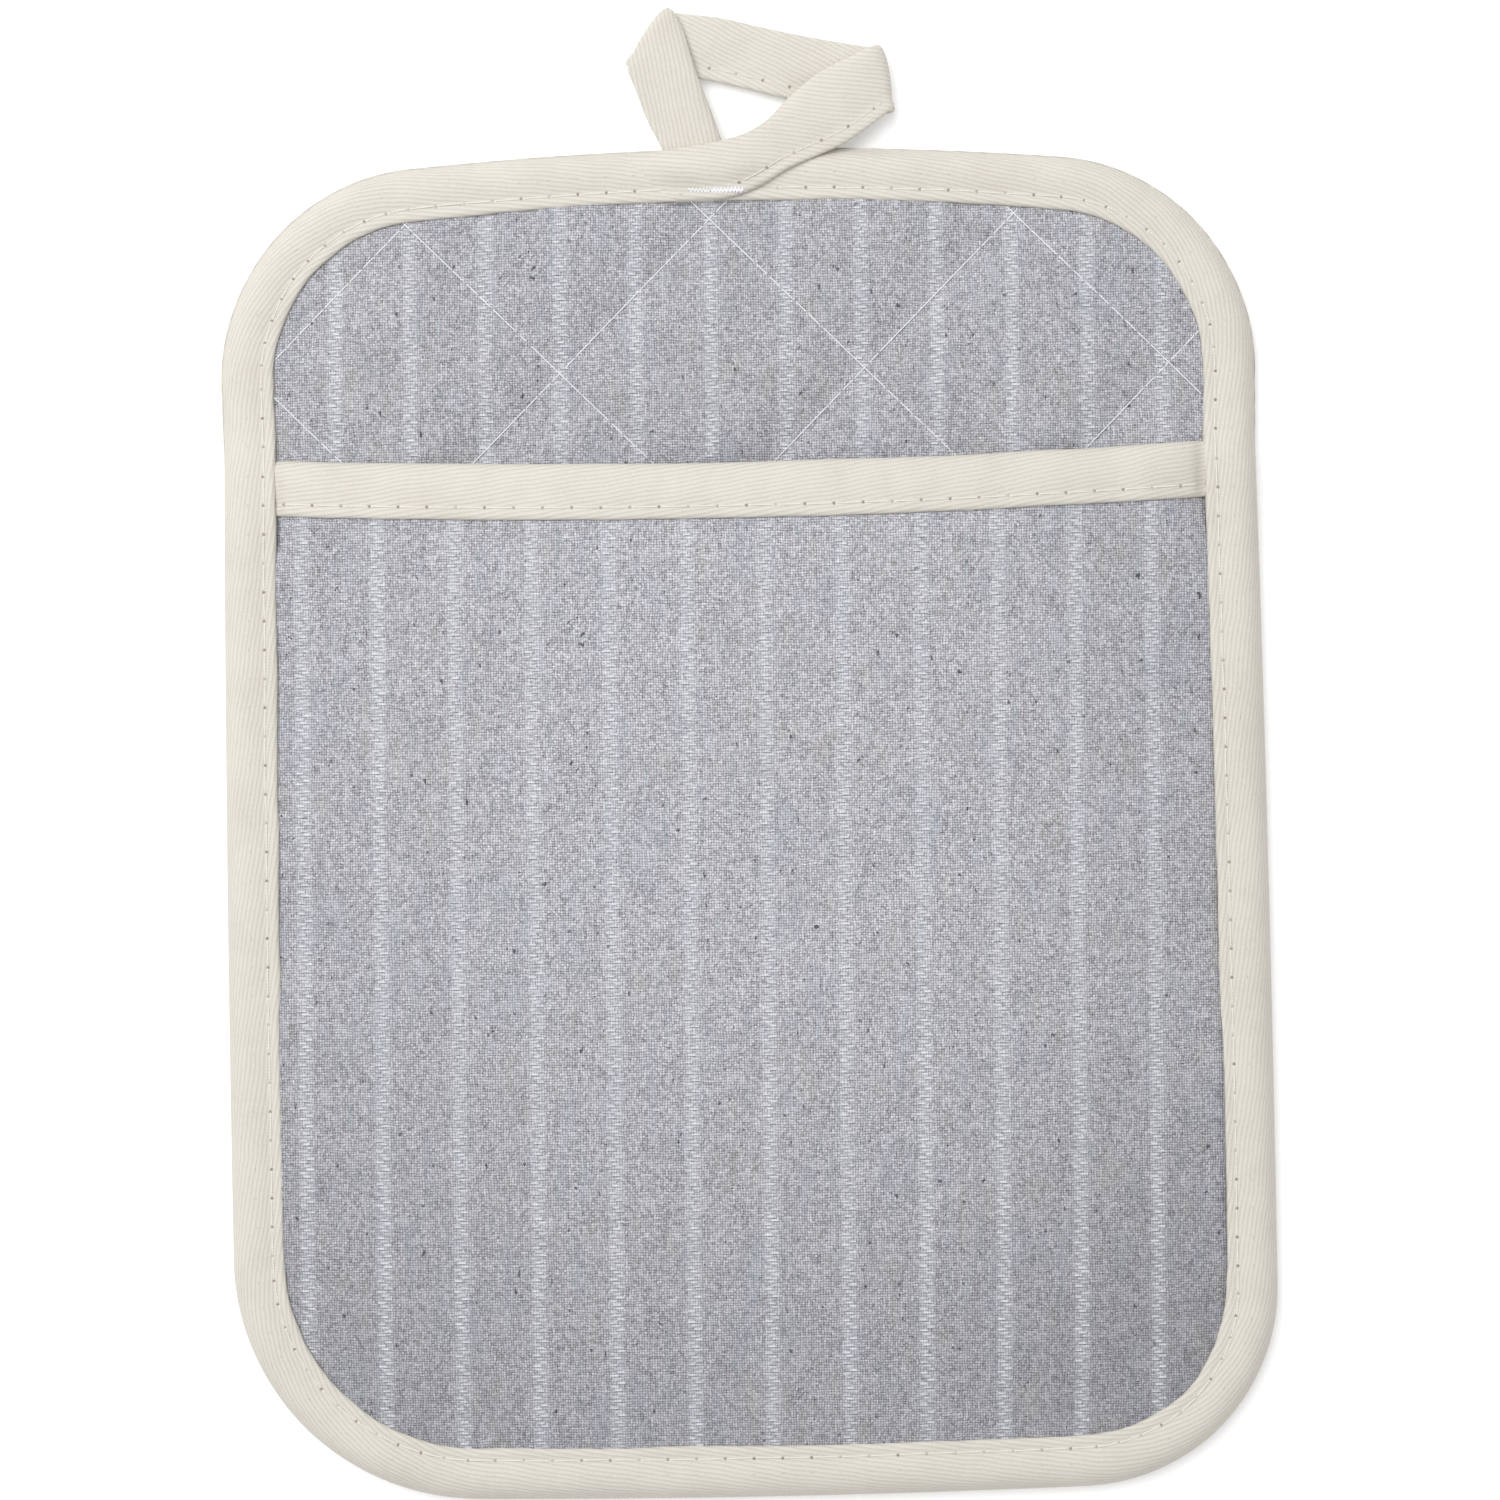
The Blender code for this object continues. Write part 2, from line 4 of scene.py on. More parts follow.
import bpy
import numpy as np
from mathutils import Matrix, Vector, noise
from mathutils.bvhtree import BVHTree


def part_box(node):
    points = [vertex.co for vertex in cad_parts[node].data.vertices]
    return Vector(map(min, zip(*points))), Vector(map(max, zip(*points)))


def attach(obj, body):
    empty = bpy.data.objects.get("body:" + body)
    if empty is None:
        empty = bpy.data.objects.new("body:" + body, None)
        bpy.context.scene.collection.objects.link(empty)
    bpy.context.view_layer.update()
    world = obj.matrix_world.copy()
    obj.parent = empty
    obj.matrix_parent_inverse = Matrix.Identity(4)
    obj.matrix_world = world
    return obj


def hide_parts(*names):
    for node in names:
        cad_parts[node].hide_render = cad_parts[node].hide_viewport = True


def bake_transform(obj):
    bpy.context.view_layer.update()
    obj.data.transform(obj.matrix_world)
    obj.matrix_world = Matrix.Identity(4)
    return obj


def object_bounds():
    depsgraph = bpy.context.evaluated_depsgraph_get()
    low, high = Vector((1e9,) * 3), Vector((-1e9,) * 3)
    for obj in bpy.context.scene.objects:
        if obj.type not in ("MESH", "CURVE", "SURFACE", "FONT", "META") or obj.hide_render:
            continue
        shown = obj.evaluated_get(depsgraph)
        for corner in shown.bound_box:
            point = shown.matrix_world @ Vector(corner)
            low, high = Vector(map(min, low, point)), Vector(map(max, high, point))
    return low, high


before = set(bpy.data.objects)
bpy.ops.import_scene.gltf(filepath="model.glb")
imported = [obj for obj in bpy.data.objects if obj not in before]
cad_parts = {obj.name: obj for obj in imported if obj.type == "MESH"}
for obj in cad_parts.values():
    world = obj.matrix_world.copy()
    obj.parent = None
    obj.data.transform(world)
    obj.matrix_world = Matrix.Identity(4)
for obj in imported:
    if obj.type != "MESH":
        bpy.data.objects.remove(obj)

CAD_LOW, CAD_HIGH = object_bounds()
RIM_LOW, RIM_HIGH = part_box("edge_binding")
MOUTH_TAPE_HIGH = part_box("pocket_binding")[1]
MM = 0.001
scene = bpy.context.scene

# Outline of the pad, in millimetres: a rounded rectangle that flares towards its foot and bows outwards
FLARE = 3.6
SIDE_BOW = 0.8
TOP_BOW = 6.3
BOTTOM_BOW = 1.8
WIDEST_EXTRA = 2.1
WIDTH = (RIM_HIGH.x - RIM_LOW.x) / MM - WIDEST_EXTRA
LENGTH = (RIM_HIGH.y - RIM_LOW.y) / MM - TOP_BOW - BOTTOM_BOW
BOW_FULL = 12.0
BOW_NONE = 44.0
RADIUS_TOP = 32.5
RADIUS_BOTTOM_RIGHT = 32.5
RADIUS_BOTTOM_LEFT = 40.0
HALF_WIDTH = WIDTH / 2
HALF_LENGTH = LENGTH / 2
BINDING_FACE = 9.1
MOUTH_LOWERED = 0.4
MOUTH_TILT = 0.0025
MOUTH_SAG = 2.2
MOUTH_Y = MOUTH_TAPE_HIGH.y / MM - MOUTH_LOWERED
MOUTH_FACE = 9.5
MOUTH_HALF = 78.0
QUILT_SPACING = 36.6
QUILT_CROSSING = (-4.4, 105.0)
STITCH_PITCH = 4.9
STITCH_INSET = 2.0
QUILT_PITCH = 3.1
MOUTH_STITCH_START = 0.3
TAPE_THREAD = 0.15
LOOP_THREAD = 0.10
QUILT_THREAD = 0.115
BARTACK_THREAD = 0.12

# Heights of the soft layers above the table, in millimetres
BACK_RIM = 1.0
BACK_LOWEST = 0.12
FRONT_RIM = 4.0
PUFF = 2.2
CLOTH = 0.4
LAYER_GAP = 0.3
WADDING_GAP = 0.15
LINING_GAP = 0.1
POCKET_RIM = 4.75
POCKET_CROWN = 2.7
POCKET_ARCH = 4.6
PRESSED_LEVEL = 4.65

# The grids of the cloths, in millimetres: the pad's has rows of points along every line of quilting
PAD_GRID = QUILT_SPACING * math.sqrt(2) / 34
PAD_REACH_X = 90.0
PAD_REACH_Y = 115.0
POCKET_GRID = 1.6
POCKET_REACH = 80.0
POCKET_ROWS = 108

# Cloth pattern; for each cloth, the pitch its stripes have on the object, and a place on one of them
STRIPE_PITCH = 13.0
FRONT_STRIPES = (12.76, -4.4, 85.0)
POCKET_STRIPES = (13.1, 3.7, 22.6)
BACK_STRIPES = (12.9, 1.5, 0.0)
STRIPE_LEAN = math.radians(0.55)
YARN = 0.43
PICK = 0.61
FLOAT_STEP = 0.58
LINING_YARN = 0.36

# Tape pattern
TWILL_LEAN = math.radians(9)
TWILL_RIB = 0.74
TWILL_YARN = 0.52
NO_HOLE = 9.0

# Camera: where the photograph's middle is from the object's own middle, and how wide a view it has
VIEW_SHIFT = (0.78, 0.23)
VIEW_PLANE = 4.4
VIEW_TURN = math.radians(-1.12)
VIEW_WIDTH = 255.0
LENS = 100.0
SENSOR = 36.0


# ---- outline of the pad

def edge_shift(x, y):
    """How far the tapered, bowed outline moves points of the plain rounded rectangle."""
    share_x = np.clip((BOW_NONE - HALF_WIDTH + np.abs(x)) / (BOW_NONE - BOW_FULL), 0, 1)
    share_y = np.clip((BOW_NONE - HALF_LENGTH + np.abs(y)) / (BOW_NONE - BOW_FULL), 0, 1)
    sideways = (-FLARE / 2 * y / LENGTH + SIDE_BOW * (1 - (y / HALF_LENGTH) ** 2)) * share_x
    bow = np.where(y > 0, TOP_BOW, BOTTOM_BOW)
    endways = bow * (1 - (x / HALF_WIDTH) ** 2) * share_y
    return np.copysign(sideways, x), np.copysign(endways, y)


def placed(x, y):
    """Points of the plain rounded rectangle, moved out to the real outline."""
    shift_x, shift_y = edge_shift(x, y)
    return x + shift_x, y + shift_y


def unplaced(x, y):
    """Undoes placed()."""
    plain_x, plain_y = np.array(x, float), np.array(y, float)
    for _ in range(10):
        shift_x, shift_y = edge_shift(plain_x, plain_y)
        plain_x, plain_y = x - shift_x, y - shift_y
    return plain_x, plain_y


def depth(x, y):
    """How far inside the pad's edge points lie."""
    x, y = unplaced(np.asarray(x, float), np.asarray(y, float))
    low = np.where(x < 0, RADIUS_BOTTOM_LEFT, RADIUS_BOTTOM_RIGHT)
    radius = np.where(y >= 0, RADIUS_TOP, low)
    past_x = np.abs(x) - (HALF_WIDTH - radius)
    past_y = np.abs(y) - (HALF_LENGTH - radius)
    straight = np.minimum(HALF_WIDTH - np.abs(x), HALF_LENGTH - np.abs(y))
    corner = radius - np.hypot(np.maximum(past_x, 0), np.maximum(past_y, 0))
    return np.where((past_x > 0) & (past_y > 0), corner, straight)


def smooth(share):
    """Rises from 0 to 1 with a level start and end."""
    share = np.clip(share, 0.0, 1.0)
    return share * share * (3 - 2 * share)


def distances(points):
    """How far along a line each of its points is."""
    steps = np.linalg.norm(np.diff(points, axis=0), axis=1)
    return np.concatenate([[0.0], np.cumsum(steps)])


def evenly(points, spacing):
    """The same line with evenly spaced points, and the distance along it of each."""
    points = np.asarray(points, float)
    along = distances(points)
    count = max(2, int(round(along[-1] / spacing)) + 1)
    stations = np.linspace(0, along[-1], count)
    columns = [np.interp(stations, along, points[:, k]) for k in range(points.shape[1])]
    return np.stack(columns, axis=1), stations


def edge_line():
    """The pad's edge as a closed line, clockwise from the middle of the top."""
    corners = [(1, 1, RADIUS_TOP, 90), (1, -1, RADIUS_BOTTOM_RIGHT, 0),
               (-1, -1, RADIUS_BOTTOM_LEFT, -90), (-1, 1, RADIUS_TOP, -180)]
    plain = [(0.0, HALF_LENGTH)]
    for side_x, side_y, radius, start in corners:
        centre_x = side_x * (HALF_WIDTH - radius)
        centre_y = side_y * (HALF_LENGTH - radius)
        for step in range(31):
            turn = math.radians(start - 3 * step)
            plain.append((centre_x + radius * math.cos(turn), centre_y + radius * math.sin(turn)))
    plain.append((0.0, HALF_LENGTH))
    dense, _ = evenly(plain, 0.5)
    x, y = placed(dense[:, 0], dense[:, 1])
    return np.stack([x, y], axis=1)


def unit(vectors):
    """Vectors brought to a length of 1."""
    return vectors / np.maximum(np.linalg.norm(vectors, axis=1, keepdims=True), 1e-9)


def directions(line):
    """Unit directions of a closed line at its points."""
    ahead = np.roll(line[:-1], -1, axis=0) - np.roll(line[:-1], 1, axis=0)
    return unit(np.vstack([ahead, ahead[:1]]))


# ---- mesh helpers

def set_all(target, **values):
    """Sets several attributes of one Blender object."""
    for key, value in values.items():
        setattr(target, key, value)


def set_inputs(node, values):
    """Sets several inputs of a shader node."""
    for key, value in values.items():
        node.inputs[key].default_value = value


def show(piece):
    """Puts an object in the scene."""
    scene.collection.objects.link(piece)
    return piece


def make_piece(name, points, faces, material):
    """A smooth-shaded mesh piece from points in millimetres."""
    mesh = bpy.data.meshes.new(name)
    mesh.from_pydata((np.asarray(points, float) * MM).tolist(), [], faces)
    mesh.validate()
    mesh.shade_smooth()
    mesh.materials.append(material)
    return show(bpy.data.objects.new(name, mesh))


def set_vectors(piece, name, values):
    """Stores one vector for each vertex, for the piece's material."""
    attribute = piece.data.attributes.new(name, "FLOAT_VECTOR", "POINT")
    flat = np.zeros((len(values), 3), np.float32)
    flat[:, :np.shape(values)[1]] = values
    attribute.data.foreach_set("vector", flat.ravel())


def points_of(piece):
    """The vertices of a piece, in millimetres."""
    flat = np.zeros(len(piece.data.vertices) * 3)
    piece.data.vertices.foreach_get("co", flat)
    return flat.reshape(-1, 3) / MM


def make_grid(x_values, y_values, keep):
    """Points and quads of a regular grid; a quad stays where all four of its corners are kept."""
    x, y = np.meshgrid(x_values, y_values)
    kept = keep(x, y)
    index = np.arange(x.size).reshape(x.shape)
    whole = kept[:-1, :-1] & kept[1:, :-1] & kept[:-1, 1:] & kept[1:, 1:]
    quads = index[:-1, :-1][whole][:, None] + (0, 1, x.shape[1] + 1, x.shape[1])
    used, quads = np.unique(quads, return_inverse=True)
    return x.ravel()[used], y.ravel()[used], quads.reshape(-1, 4)


def make_slab(name, x, y, quads, low, high, material):
    """A closed sheet between two heights over the same grid. The upper points come first."""
    count = len(x)
    upper = np.stack([x, y, high], axis=1)
    lower = np.stack([x, y, low], axis=1)
    faces = [tuple(map(int, q)) for q in quads]
    faces += [tuple(int(i) + count for i in q[::-1]) for q in quads]
    sides = [(int(q[k]), int(q[(k + 1) % 4])) for q in quads for k in range(4)]
    all_sides = set(sides)
    faces += [(b, a, a + count, b + count) for a, b in sides if (b, a) not in all_sides]
    return make_piece(name, np.vstack([upper, lower]), faces, material)


def make_sweep(name, sections, material, caps=True):
    """A skin over equal-sized sections, each a ring of points."""
    sections = np.asarray(sections, float)
    count, ring = sections.shape[:2]
    faces = []
    for i in range(count - 1):
        for k in range(ring):
            n = (k + 1) % ring
            faces.append((i * ring + k, i * ring + n, (i + 1) * ring + n, (i + 1) * ring + k))
    if caps:
        faces.append(tuple(range(ring - 1, -1, -1)))
        faces.append(tuple((count - 1) * ring + k for k in range(ring)))
    return make_piece(name, sections.reshape(-1, 3), faces, material)


def make_threads(name, lines, radius, material, sides=6):
    """Sewing thread as thin round tubes along lines in millimetres."""
    points, faces, twist = [], [], []
    for line in lines:
        line = np.asarray(line, float)
        ahead = unit(np.gradient(line, axis=0))
        side = unit(np.cross(ahead, (0.0, 0.0, 1.0)))
        up = np.cross(side, ahead)
        along = distances(line)
        first = len(points)
        for i in range(len(line)):
            for k in range(sides):
                turn = 2 * math.pi * k / sides
                points.append(line[i] + radius * (math.cos(turn) * side[i] + math.sin(turn) * up[i]))
                twist.append((along[i], k / sides, 0.0))
        for i in range(len(line) - 1):
            for k in range(sides):
                n = (k + 1) % sides
                a = first + i * sides
                faces.append((a + k, a + sides + k, a + sides + n, a + n))
        faces.append(tuple(first + k for k in range(sides)))
        last = first + (len(line) - 1) * sides
        faces.append(tuple(last + k for k in range(sides - 1, -1, -1)))
    piece = make_piece(name, points, faces, material)
    set_vectors(piece, "strand", twist)
    return piece


def make_tree(pieces):
    """A search tree over pieces, for laying threads on them."""
    points, faces = [], []
    for piece in pieces:
        first = len(points)
        points.extend(points_of(piece).tolist())
        faces.extend([tuple(first + i for i in p.vertices) for p in piece.data.polygons])
    return BVHTree.FromPolygons(points, faces)


def heights(tree, x, y, above=True, missed=0.0):
    """Heights of the topmost, or lowest, surface over points."""
    start, way = (60.0, -1.0) if above else (-60.0, 1.0)
    found = []
    for px, py in zip(np.atleast_1d(x), np.atleast_1d(y)):
        hit = tree.ray_cast(Vector((px, py, start)), Vector((0, 0, way)))
        found.append(hit[0].z if hit[0] is not None else missed)
    return np.array(found)


def ripple(values, scale, seed):
    """Smooth wandering between about -1 and 1 along a line."""
    return np.array([noise.noise(Vector((v / scale, seed * 7.3, seed * 1.7))) * 1.6 for v in values])


def field(x, y, scale, seed):
    """Smooth wandering between about -1 and 1 over points."""
    flat = zip(np.ravel(x), np.ravel(y))
    values = [noise.noise(Vector((px / scale, py / scale, seed * 5.7))) * 1.6 for px, py in flat]
    return np.array(values).reshape(np.shape(x))


# ---- materials

class Shader:
    """Builds the node tree of one material. Lengths in it are in millimetres."""

    def __init__(self, name):
        self.material = bpy.data.materials.new(name)
        self.material.use_nodes = True
        self.tree = self.material.node_tree
        self.surface = self.tree.nodes["Principled BSDF"]

    def node(self, kind, **settings):
        made = self.tree.nodes.new(kind)
        set_all(made, **settings)
        return made

    def feed(self, socket, value):
        if isinstance(value, bpy.types.NodeSocket):
            self.tree.links.new(value, socket)
        else:
            socket.default_value = value

    def math(self, operation, *values, clamp=False):
        made = self.node("ShaderNodeMath", operation=operation, use_clamp=clamp)
        for socket, value in zip(made.inputs, values):
            self.feed(socket, value)
        return made.outputs[0]

    def less(self, value, amount):
        return self.math("SUBTRACT", value, amount)

    def floor(self, value):
        return self.math("FLOOR", value)

    def sine(self, value):
        return self.math("SINE", value)

    def size(self, value):
        return self.math("ABSOLUTE", value)

    def about(self, value, middle, factor):
        """How far a value is from its middle, times a factor."""
        return self.scaled(self.less(value, middle), factor)

    def add(self, *values):
        total = values[0]
        for value in values[1:]:
            total = self.math("ADD", total, value)
        return total

    def scaled(self, value, factor):
        return self.math("MULTIPLY", value, factor)

    def range(self, value, low, high, to_low=0.0, to_high=1.0):
        made = self.node("ShaderNodeMapRange", interpolation_type="SMOOTHSTEP")
        for socket, given in zip(made.inputs, (value, low, high, to_low, to_high)):
            self.feed(socket, given)
        return made.outputs[0]

    def vector(self, x, y, z=0.0):
        made = self.node("ShaderNodeCombineXYZ")
        for socket, value in zip(made.inputs, (x, y, z)):
            self.feed(socket, value)
        return made.outputs[0]

    def attribute(self, name):
        made = self.node("ShaderNodeAttribute", attribute_name=name)
        parts = self.node("ShaderNodeSeparateXYZ")
        self.feed(parts.inputs[0], made.outputs["Vector"])
        return parts.outputs[0], parts.outputs[1], parts.outputs[2]

    def noise(self, x, y, z=0.0, scale=1.0, detail=2.0, roughness=0.5):
        made = self.node("ShaderNodeTexNoise", noise_dimensions="3D")
        self.feed(made.inputs["Vector"], self.vector(x, y, z))
        set_inputs(made, {"Scale": scale, "Detail": detail, "Roughness": roughness})
        return made.outputs["Fac"]

    def speck(self, x, y, z=0.0):
        made = self.node("ShaderNodeTexWhiteNoise", noise_dimensions="3D")
        self.feed(made.inputs["Vector"], self.vector(x, y, z))
        return made.outputs["Value"]

    def mix(self, share, first, second):
        made = self.node("ShaderNodeMix", data_type="RGBA")
        self.feed(made.inputs["Factor"], share)
        sockets = [s for s in made.inputs if s.type == "RGBA"]
        self.feed(sockets[0], first)
        self.feed(sockets[1], second)
        return [s for s in made.outputs if s.type == "RGBA"][0]

    def bump(self, height, distance, strength=1.0):
        made = self.node("ShaderNodeBump")
        set_inputs(made, {"Strength": strength, "Distance": distance * MM})
        self.feed(made.inputs["Height"], height)
        self.tree.links.new(made.outputs[0], self.surface.inputs["Normal"])

    def finish(self, colour, roughness, sheen=0.0, sheen_tint=(1, 1, 1, 1), specular=0.3):
        self.feed(self.surface.inputs["Base Color"], colour)
        self.feed(self.surface.inputs["Roughness"], roughness)
        set_inputs(self.surface, {"Sheen Weight": sheen, "Sheen Roughness": 0.6, "Sheen Tint": sheen_tint,
                                  "Specular IOR Level": specular})
        return self.material


def linear(red, green, blue):
    """An sRGB colour, 0 to 255, as a linear colour with alpha."""
    parts = []
    for value in (red, green, blue):
        value /= 255
        parts.append(value / 12.92 if value <= 0.04045 else ((value + 0.055) / 1.055) ** 2.4)
    return (*parts, 1.0)


def make_grey_cloth():
    """Grey melange plain weave with pale broken stripes, in the cloth's own millimetres."""
    s = Shader("grey_cloth")
    u, v, painted_shade = s.attribute("cloth")
    wander_u = s.math("MULTIPLY_ADD", s.noise(u, v, 3.0, 0.35, 1.0), 0.5, s.less(u, 0.25))
    wander_v = s.math("MULTIPLY_ADD", s.noise(u, v, 9.0, 0.35, 1.0), 0.5, s.less(v, 0.25))
    wave_u = s.sine(s.scaled(wander_u, math.pi / YARN))
    wave_v = s.sine(s.scaled(wander_v, math.pi / YARN))
    weave = s.scaled(wave_u, wave_v)
    over = s.range(weave, -0.25, 0.25)
    crown = s.math("POWER", s.size(weave), 0.5)
    column = s.floor(s.scaled(wander_u, 1 / YARN))
    row = s.floor(s.scaled(wander_v, 1 / YARN))
    crossing = s.speck(column, row)
    warp = s.noise(s.scaled(u, 2.3), s.scaled(v, 0.42), 1.0, 1.0, 3.0, 0.7)
    weft = s.noise(s.scaled(u, 0.42), s.scaled(v, 2.3), 5.0, 1.0, 3.0, 0.7)
    grain = s.noise(u, v, 2.0, 1.7, 3.0, 0.75)
    fine = s.noise(u, v, 12.0, 3.4, 1.0, 0.6)
    cloud = s.noise(u, v, 4.0, 0.40, 3.0, 0.6)
    streak = s.noise(s.scaled(u, 1.15), s.scaled(v, 0.14), 41.0, 1.0, 3.0, 0.65)
    tint = s.noise(s.scaled(u, 0.42), s.scaled(v, 0.07), 50.0, 1.0, 3.0, 0.6)
    yarn = s.add(s.scaled(s.less(warp, 0.5), over), s.scaled(s.less(weft, 0.5), s.less(1.0, over)))
    pit = s.range(crossing, 0.80, 0.97, 0.0, -0.36)
    # The crown term paints each yarn's top lighter and the dips between yarns darker, as painted highlight
    # and shade
    tone = s.add(s.scaled(yarn, 0.70), pit,
                 s.about(crossing, 0.42, 0.40),
                 s.about(grain, 0.5, 0.58),
                 s.about(fine, 0.5, 0.92),
                 s.about(cloud, 0.5, 0.26),
                 s.about(streak, 0.5, 0.30),
                 s.about(crown, 0.62, 0.46))
    share = s.math("ADD", tone, GREY_LEVEL, clamp=True)
    base = s.mix(share, GREY_DARK, GREY_PALE)
    hue = s.noise(u, v, 20.0, 0.07, 3.0, 0.6)
    base = s.mix(s.range(hue, 0.45, 0.72, 0.0, 0.14), base, GREY_BLUE)
    base = s.mix(s.range(hue, 0.30, 0.55, 0.12, 0.0), base, GREY_BROWN)
    base = s.mix(s.range(tint, 0.48, 0.72, 0.0, 0.30), base, GREY_BLUE)
    base = s.mix(s.range(tint, 0.28, 0.52, 0.18, 0.0), base, GREY_BROWN)
    slub = s.noise(u, s.scaled(v, 0.6), 31.0, 0.95, 2.0, 0.5)
    base = s.mix(s.range(slub, 0.705, 0.75, 0.0, 0.80), base, GREY_SLUB)
    # Painted shade: the cloth's third value darkens it, evenly on the front and back cloths and more
    # towards the pocket's foot, lower right and sides
    base = s.mix(painted_shade, base, GREY_PAINTED_SHADE)
    # Stripes: a ladder of pale floats that steps across the stripe, pick by pick, with painted shadow in
    # the gaps between floats
    from_gap = s.add(u, STRIPE_PITCH / 2)
    offset = s.less(s.math("FLOORED_MODULO", from_gap, STRIPE_PITCH), STRIPE_PITCH / 2)
    number = s.floor(s.scaled(from_gap, 1 / STRIPE_PITCH))
    pick = s.scaled(v, 1 / PICK)
    rung = s.math("FLOORED_MODULO", s.floor(pick), 3.0)
    centre = s.scaled(s.less(1.0, rung), FLOAT_STEP)
    reach = s.size(s.less(s.less(offset, centre), s.about(fine, 0.5, 0.5)))
    rise = s.size(s.less(s.math("FRACT", pick), 0.5))
    inside = s.range(reach, 0.46, 0.80, 1.0, 0.0)
    float_mask = s.scaled(inside, s.range(rise, 0.22, 0.46, 1.0, 0.0))
    float_gap_shadow = s.scaled(s.range(reach, 0.6, 0.95, 1.0, 0.0), s.range(rise, 0.36, 0.48, 0.0, 1.0))
    wear = s.noise(s.scaled(number, 11.3), s.scaled(v, 0.10), 7.0, 1.0, 2.0, 0.6)
    chance = s.speck(number, s.floor(pick), 8.0)
    uneven = s.scaled(s.range(grain, 0.3, 0.62, 0.55, 1.0), s.range(chance, 0.0, 0.8, 0.55, 1.0))
    strength = s.scaled(s.range(wear, 0.25, 0.7, 0.75, 1.0), uneven)
    stripe = s.scaled(float_mask, strength)
    band = s.range(s.size(offset), 0.8, 1.8, 0.18, 0.0)
    base = s.mix(band, base, STRIPE_BLUE)
    base = s.mix(s.scaled(stripe, 0.80), base, STRIPE_PALE)
    # Painted shadow in the gaps between the floats
    base = s.mix(s.scaled(float_gap_shadow, 0.20), base, GREY_DARK)
    height = s.add(s.scaled(crown, 0.7), s.scaled(grain, 0.9), s.scaled(float_mask, 0.8),
                   s.scaled(crossing, 0.25))
    s.bump(height, 0.17, 1.0)
    rough = s.range(grain, 0.2, 0.8, 0.82, 0.98)
    return s.finish(base, rough, 0.12, (0.9, 0.92, 1.0, 1.0), 0.15)


def make_twill():
    """Cream cotton twill tape, in the tape's own millimetres, with painted shade in its grooves and in the
    needle holes at its stitches.
    """
    s = Shader("cream_tape")
    along, across, _ = s.attribute("tape")
    count, away, _ = s.attribute("holes")
    wander = s.scaled(s.less(s.noise(along, across, 1.0, 0.12, 2.0), 0.5), 0.9)
    diagonal = s.add(s.scaled(across, math.cos(TWILL_LEAN)), s.scaled(along, math.sin(TWILL_LEAN)), wander)
    rib = s.sine(s.scaled(diagonal, 2 * math.pi / TWILL_RIB))
    turn = s.less(s.scaled(along, math.cos(TWILL_LEAN)), s.scaled(across, math.sin(TWILL_LEAN)))
    yarn = s.sine(s.add(s.scaled(turn, 2 * math.pi / TWILL_YARN), s.scaled(rib, 1.4)))
    fibre = s.noise(along, s.scaled(across, 2.2), 6.0, 1.9, 3.0, 0.7)
    blotch = s.noise(along, across, 14.0, 0.11, 3.0, 0.6)
    # Painted shade: the twill's grooves darker than its ribs; fibre and blotch add random tone
    groove_shade = s.range(rib, -1.0, 0.1, 1.0, 0.0)
    tone = s.add(s.scaled(groove_shade, 0.42), s.about(fibre, 0.5, 0.7),
                 s.scaled(yarn, -0.05), s.about(blotch, 0.45, 0.6))
    base = s.mix(s.math("ADD", tone, 0.05, clamp=True), CREAM_PALE, CREAM_TONE_AND_GROOVE_SHADE)
    step = s.scaled(s.less(s.math("FRACT", count), 0.5), STITCH_PITCH)
    far = s.math("SQRT", s.add(s.scaled(step, step), s.scaled(away, away)))
    frayed = s.speck(s.floor(count), 4.0)
    # Painted shade in the needle holes, deeper at some holes than at others
    hole = s.scaled(s.range(far, 0.12, 0.40, 1.0, 0.0), s.range(frayed, 0.0, 0.8, 0.25, 0.8))
    base = s.mix(hole, base, HOLE_PAINTED_SHADE)
    height = s.add(s.scaled(rib, 0.36), s.scaled(yarn, 0.12), s.scaled(fibre, 0.7), s.scaled(hole, -2.0))
    s.bump(height, 0.08, 0.6)
    rough = s.range(fibre, 0.2, 0.8, 0.78, 0.95)
    return s.finish(base, rough, 0.15, (1.0, 0.97, 0.92, 1.0), 0.18)


def make_lining():
    """Pale plain-woven cotton lining."""
    s = Shader("lining_cloth")
    u, v, _ = s.attribute("cloth")
    wave = s.scaled(s.sine(s.scaled(u, math.pi / LINING_YARN)), s.sine(s.scaled(v, math.pi / LINING_YARN)))
    grain = s.noise(u, v, 1.0, 1.8, 3.0, 0.7)
    warp = s.noise(s.scaled(u, 2.6), s.scaled(v, 0.2), 1.0, 1.0, 2.0, 0.6)
    tone = s.add(s.scaled(grain, 0.55), s.scaled(warp, 0.4), s.scaled(wave, 0.08))
    base = s.mix(s.math("ADD", tone, 0.0, clamp=True), LINING_DARK, LINING_PALE)
    s.bump(s.add(s.scaled(wave, 0.5), s.scaled(grain, 0.8)), 0.09, 0.6)
    return s.finish(base, s.range(grain, 0.2, 0.8, 0.84, 0.97), 0.1, (1, 1, 1, 1), 0.15)


def make_thread(name, pale, dark):
    """Two-ply cotton sewing thread, twisted along its length, with painted shade between its plies."""
    s = Shader(name)
    along, around, _ = s.attribute("strand")
    twist = s.sine(s.scaled(s.add(s.scaled(along, 1.9), around), 2 * math.pi))
    fuzz = s.noise(along, s.scaled(around, 2.0), 3.0, 3.0, 2.0, 0.6)
    # Painted shade in the groove between the plies, with random fuzz
    share = s.add(s.range(twist, -1.0, 0.2, 0.55, 0.0), s.about(fuzz, 0.5, 0.5))
    base = s.mix(s.math("ADD", share, 0.0, clamp=True), pale, dark)
    s.bump(s.add(twist, s.scaled(fuzz, 0.6)), 0.05, 0.6)
    return s.finish(base, s.range(fuzz, 0.2, 0.8, 0.55, 0.75), 0.1, (1, 1, 1, 1), 0.3)


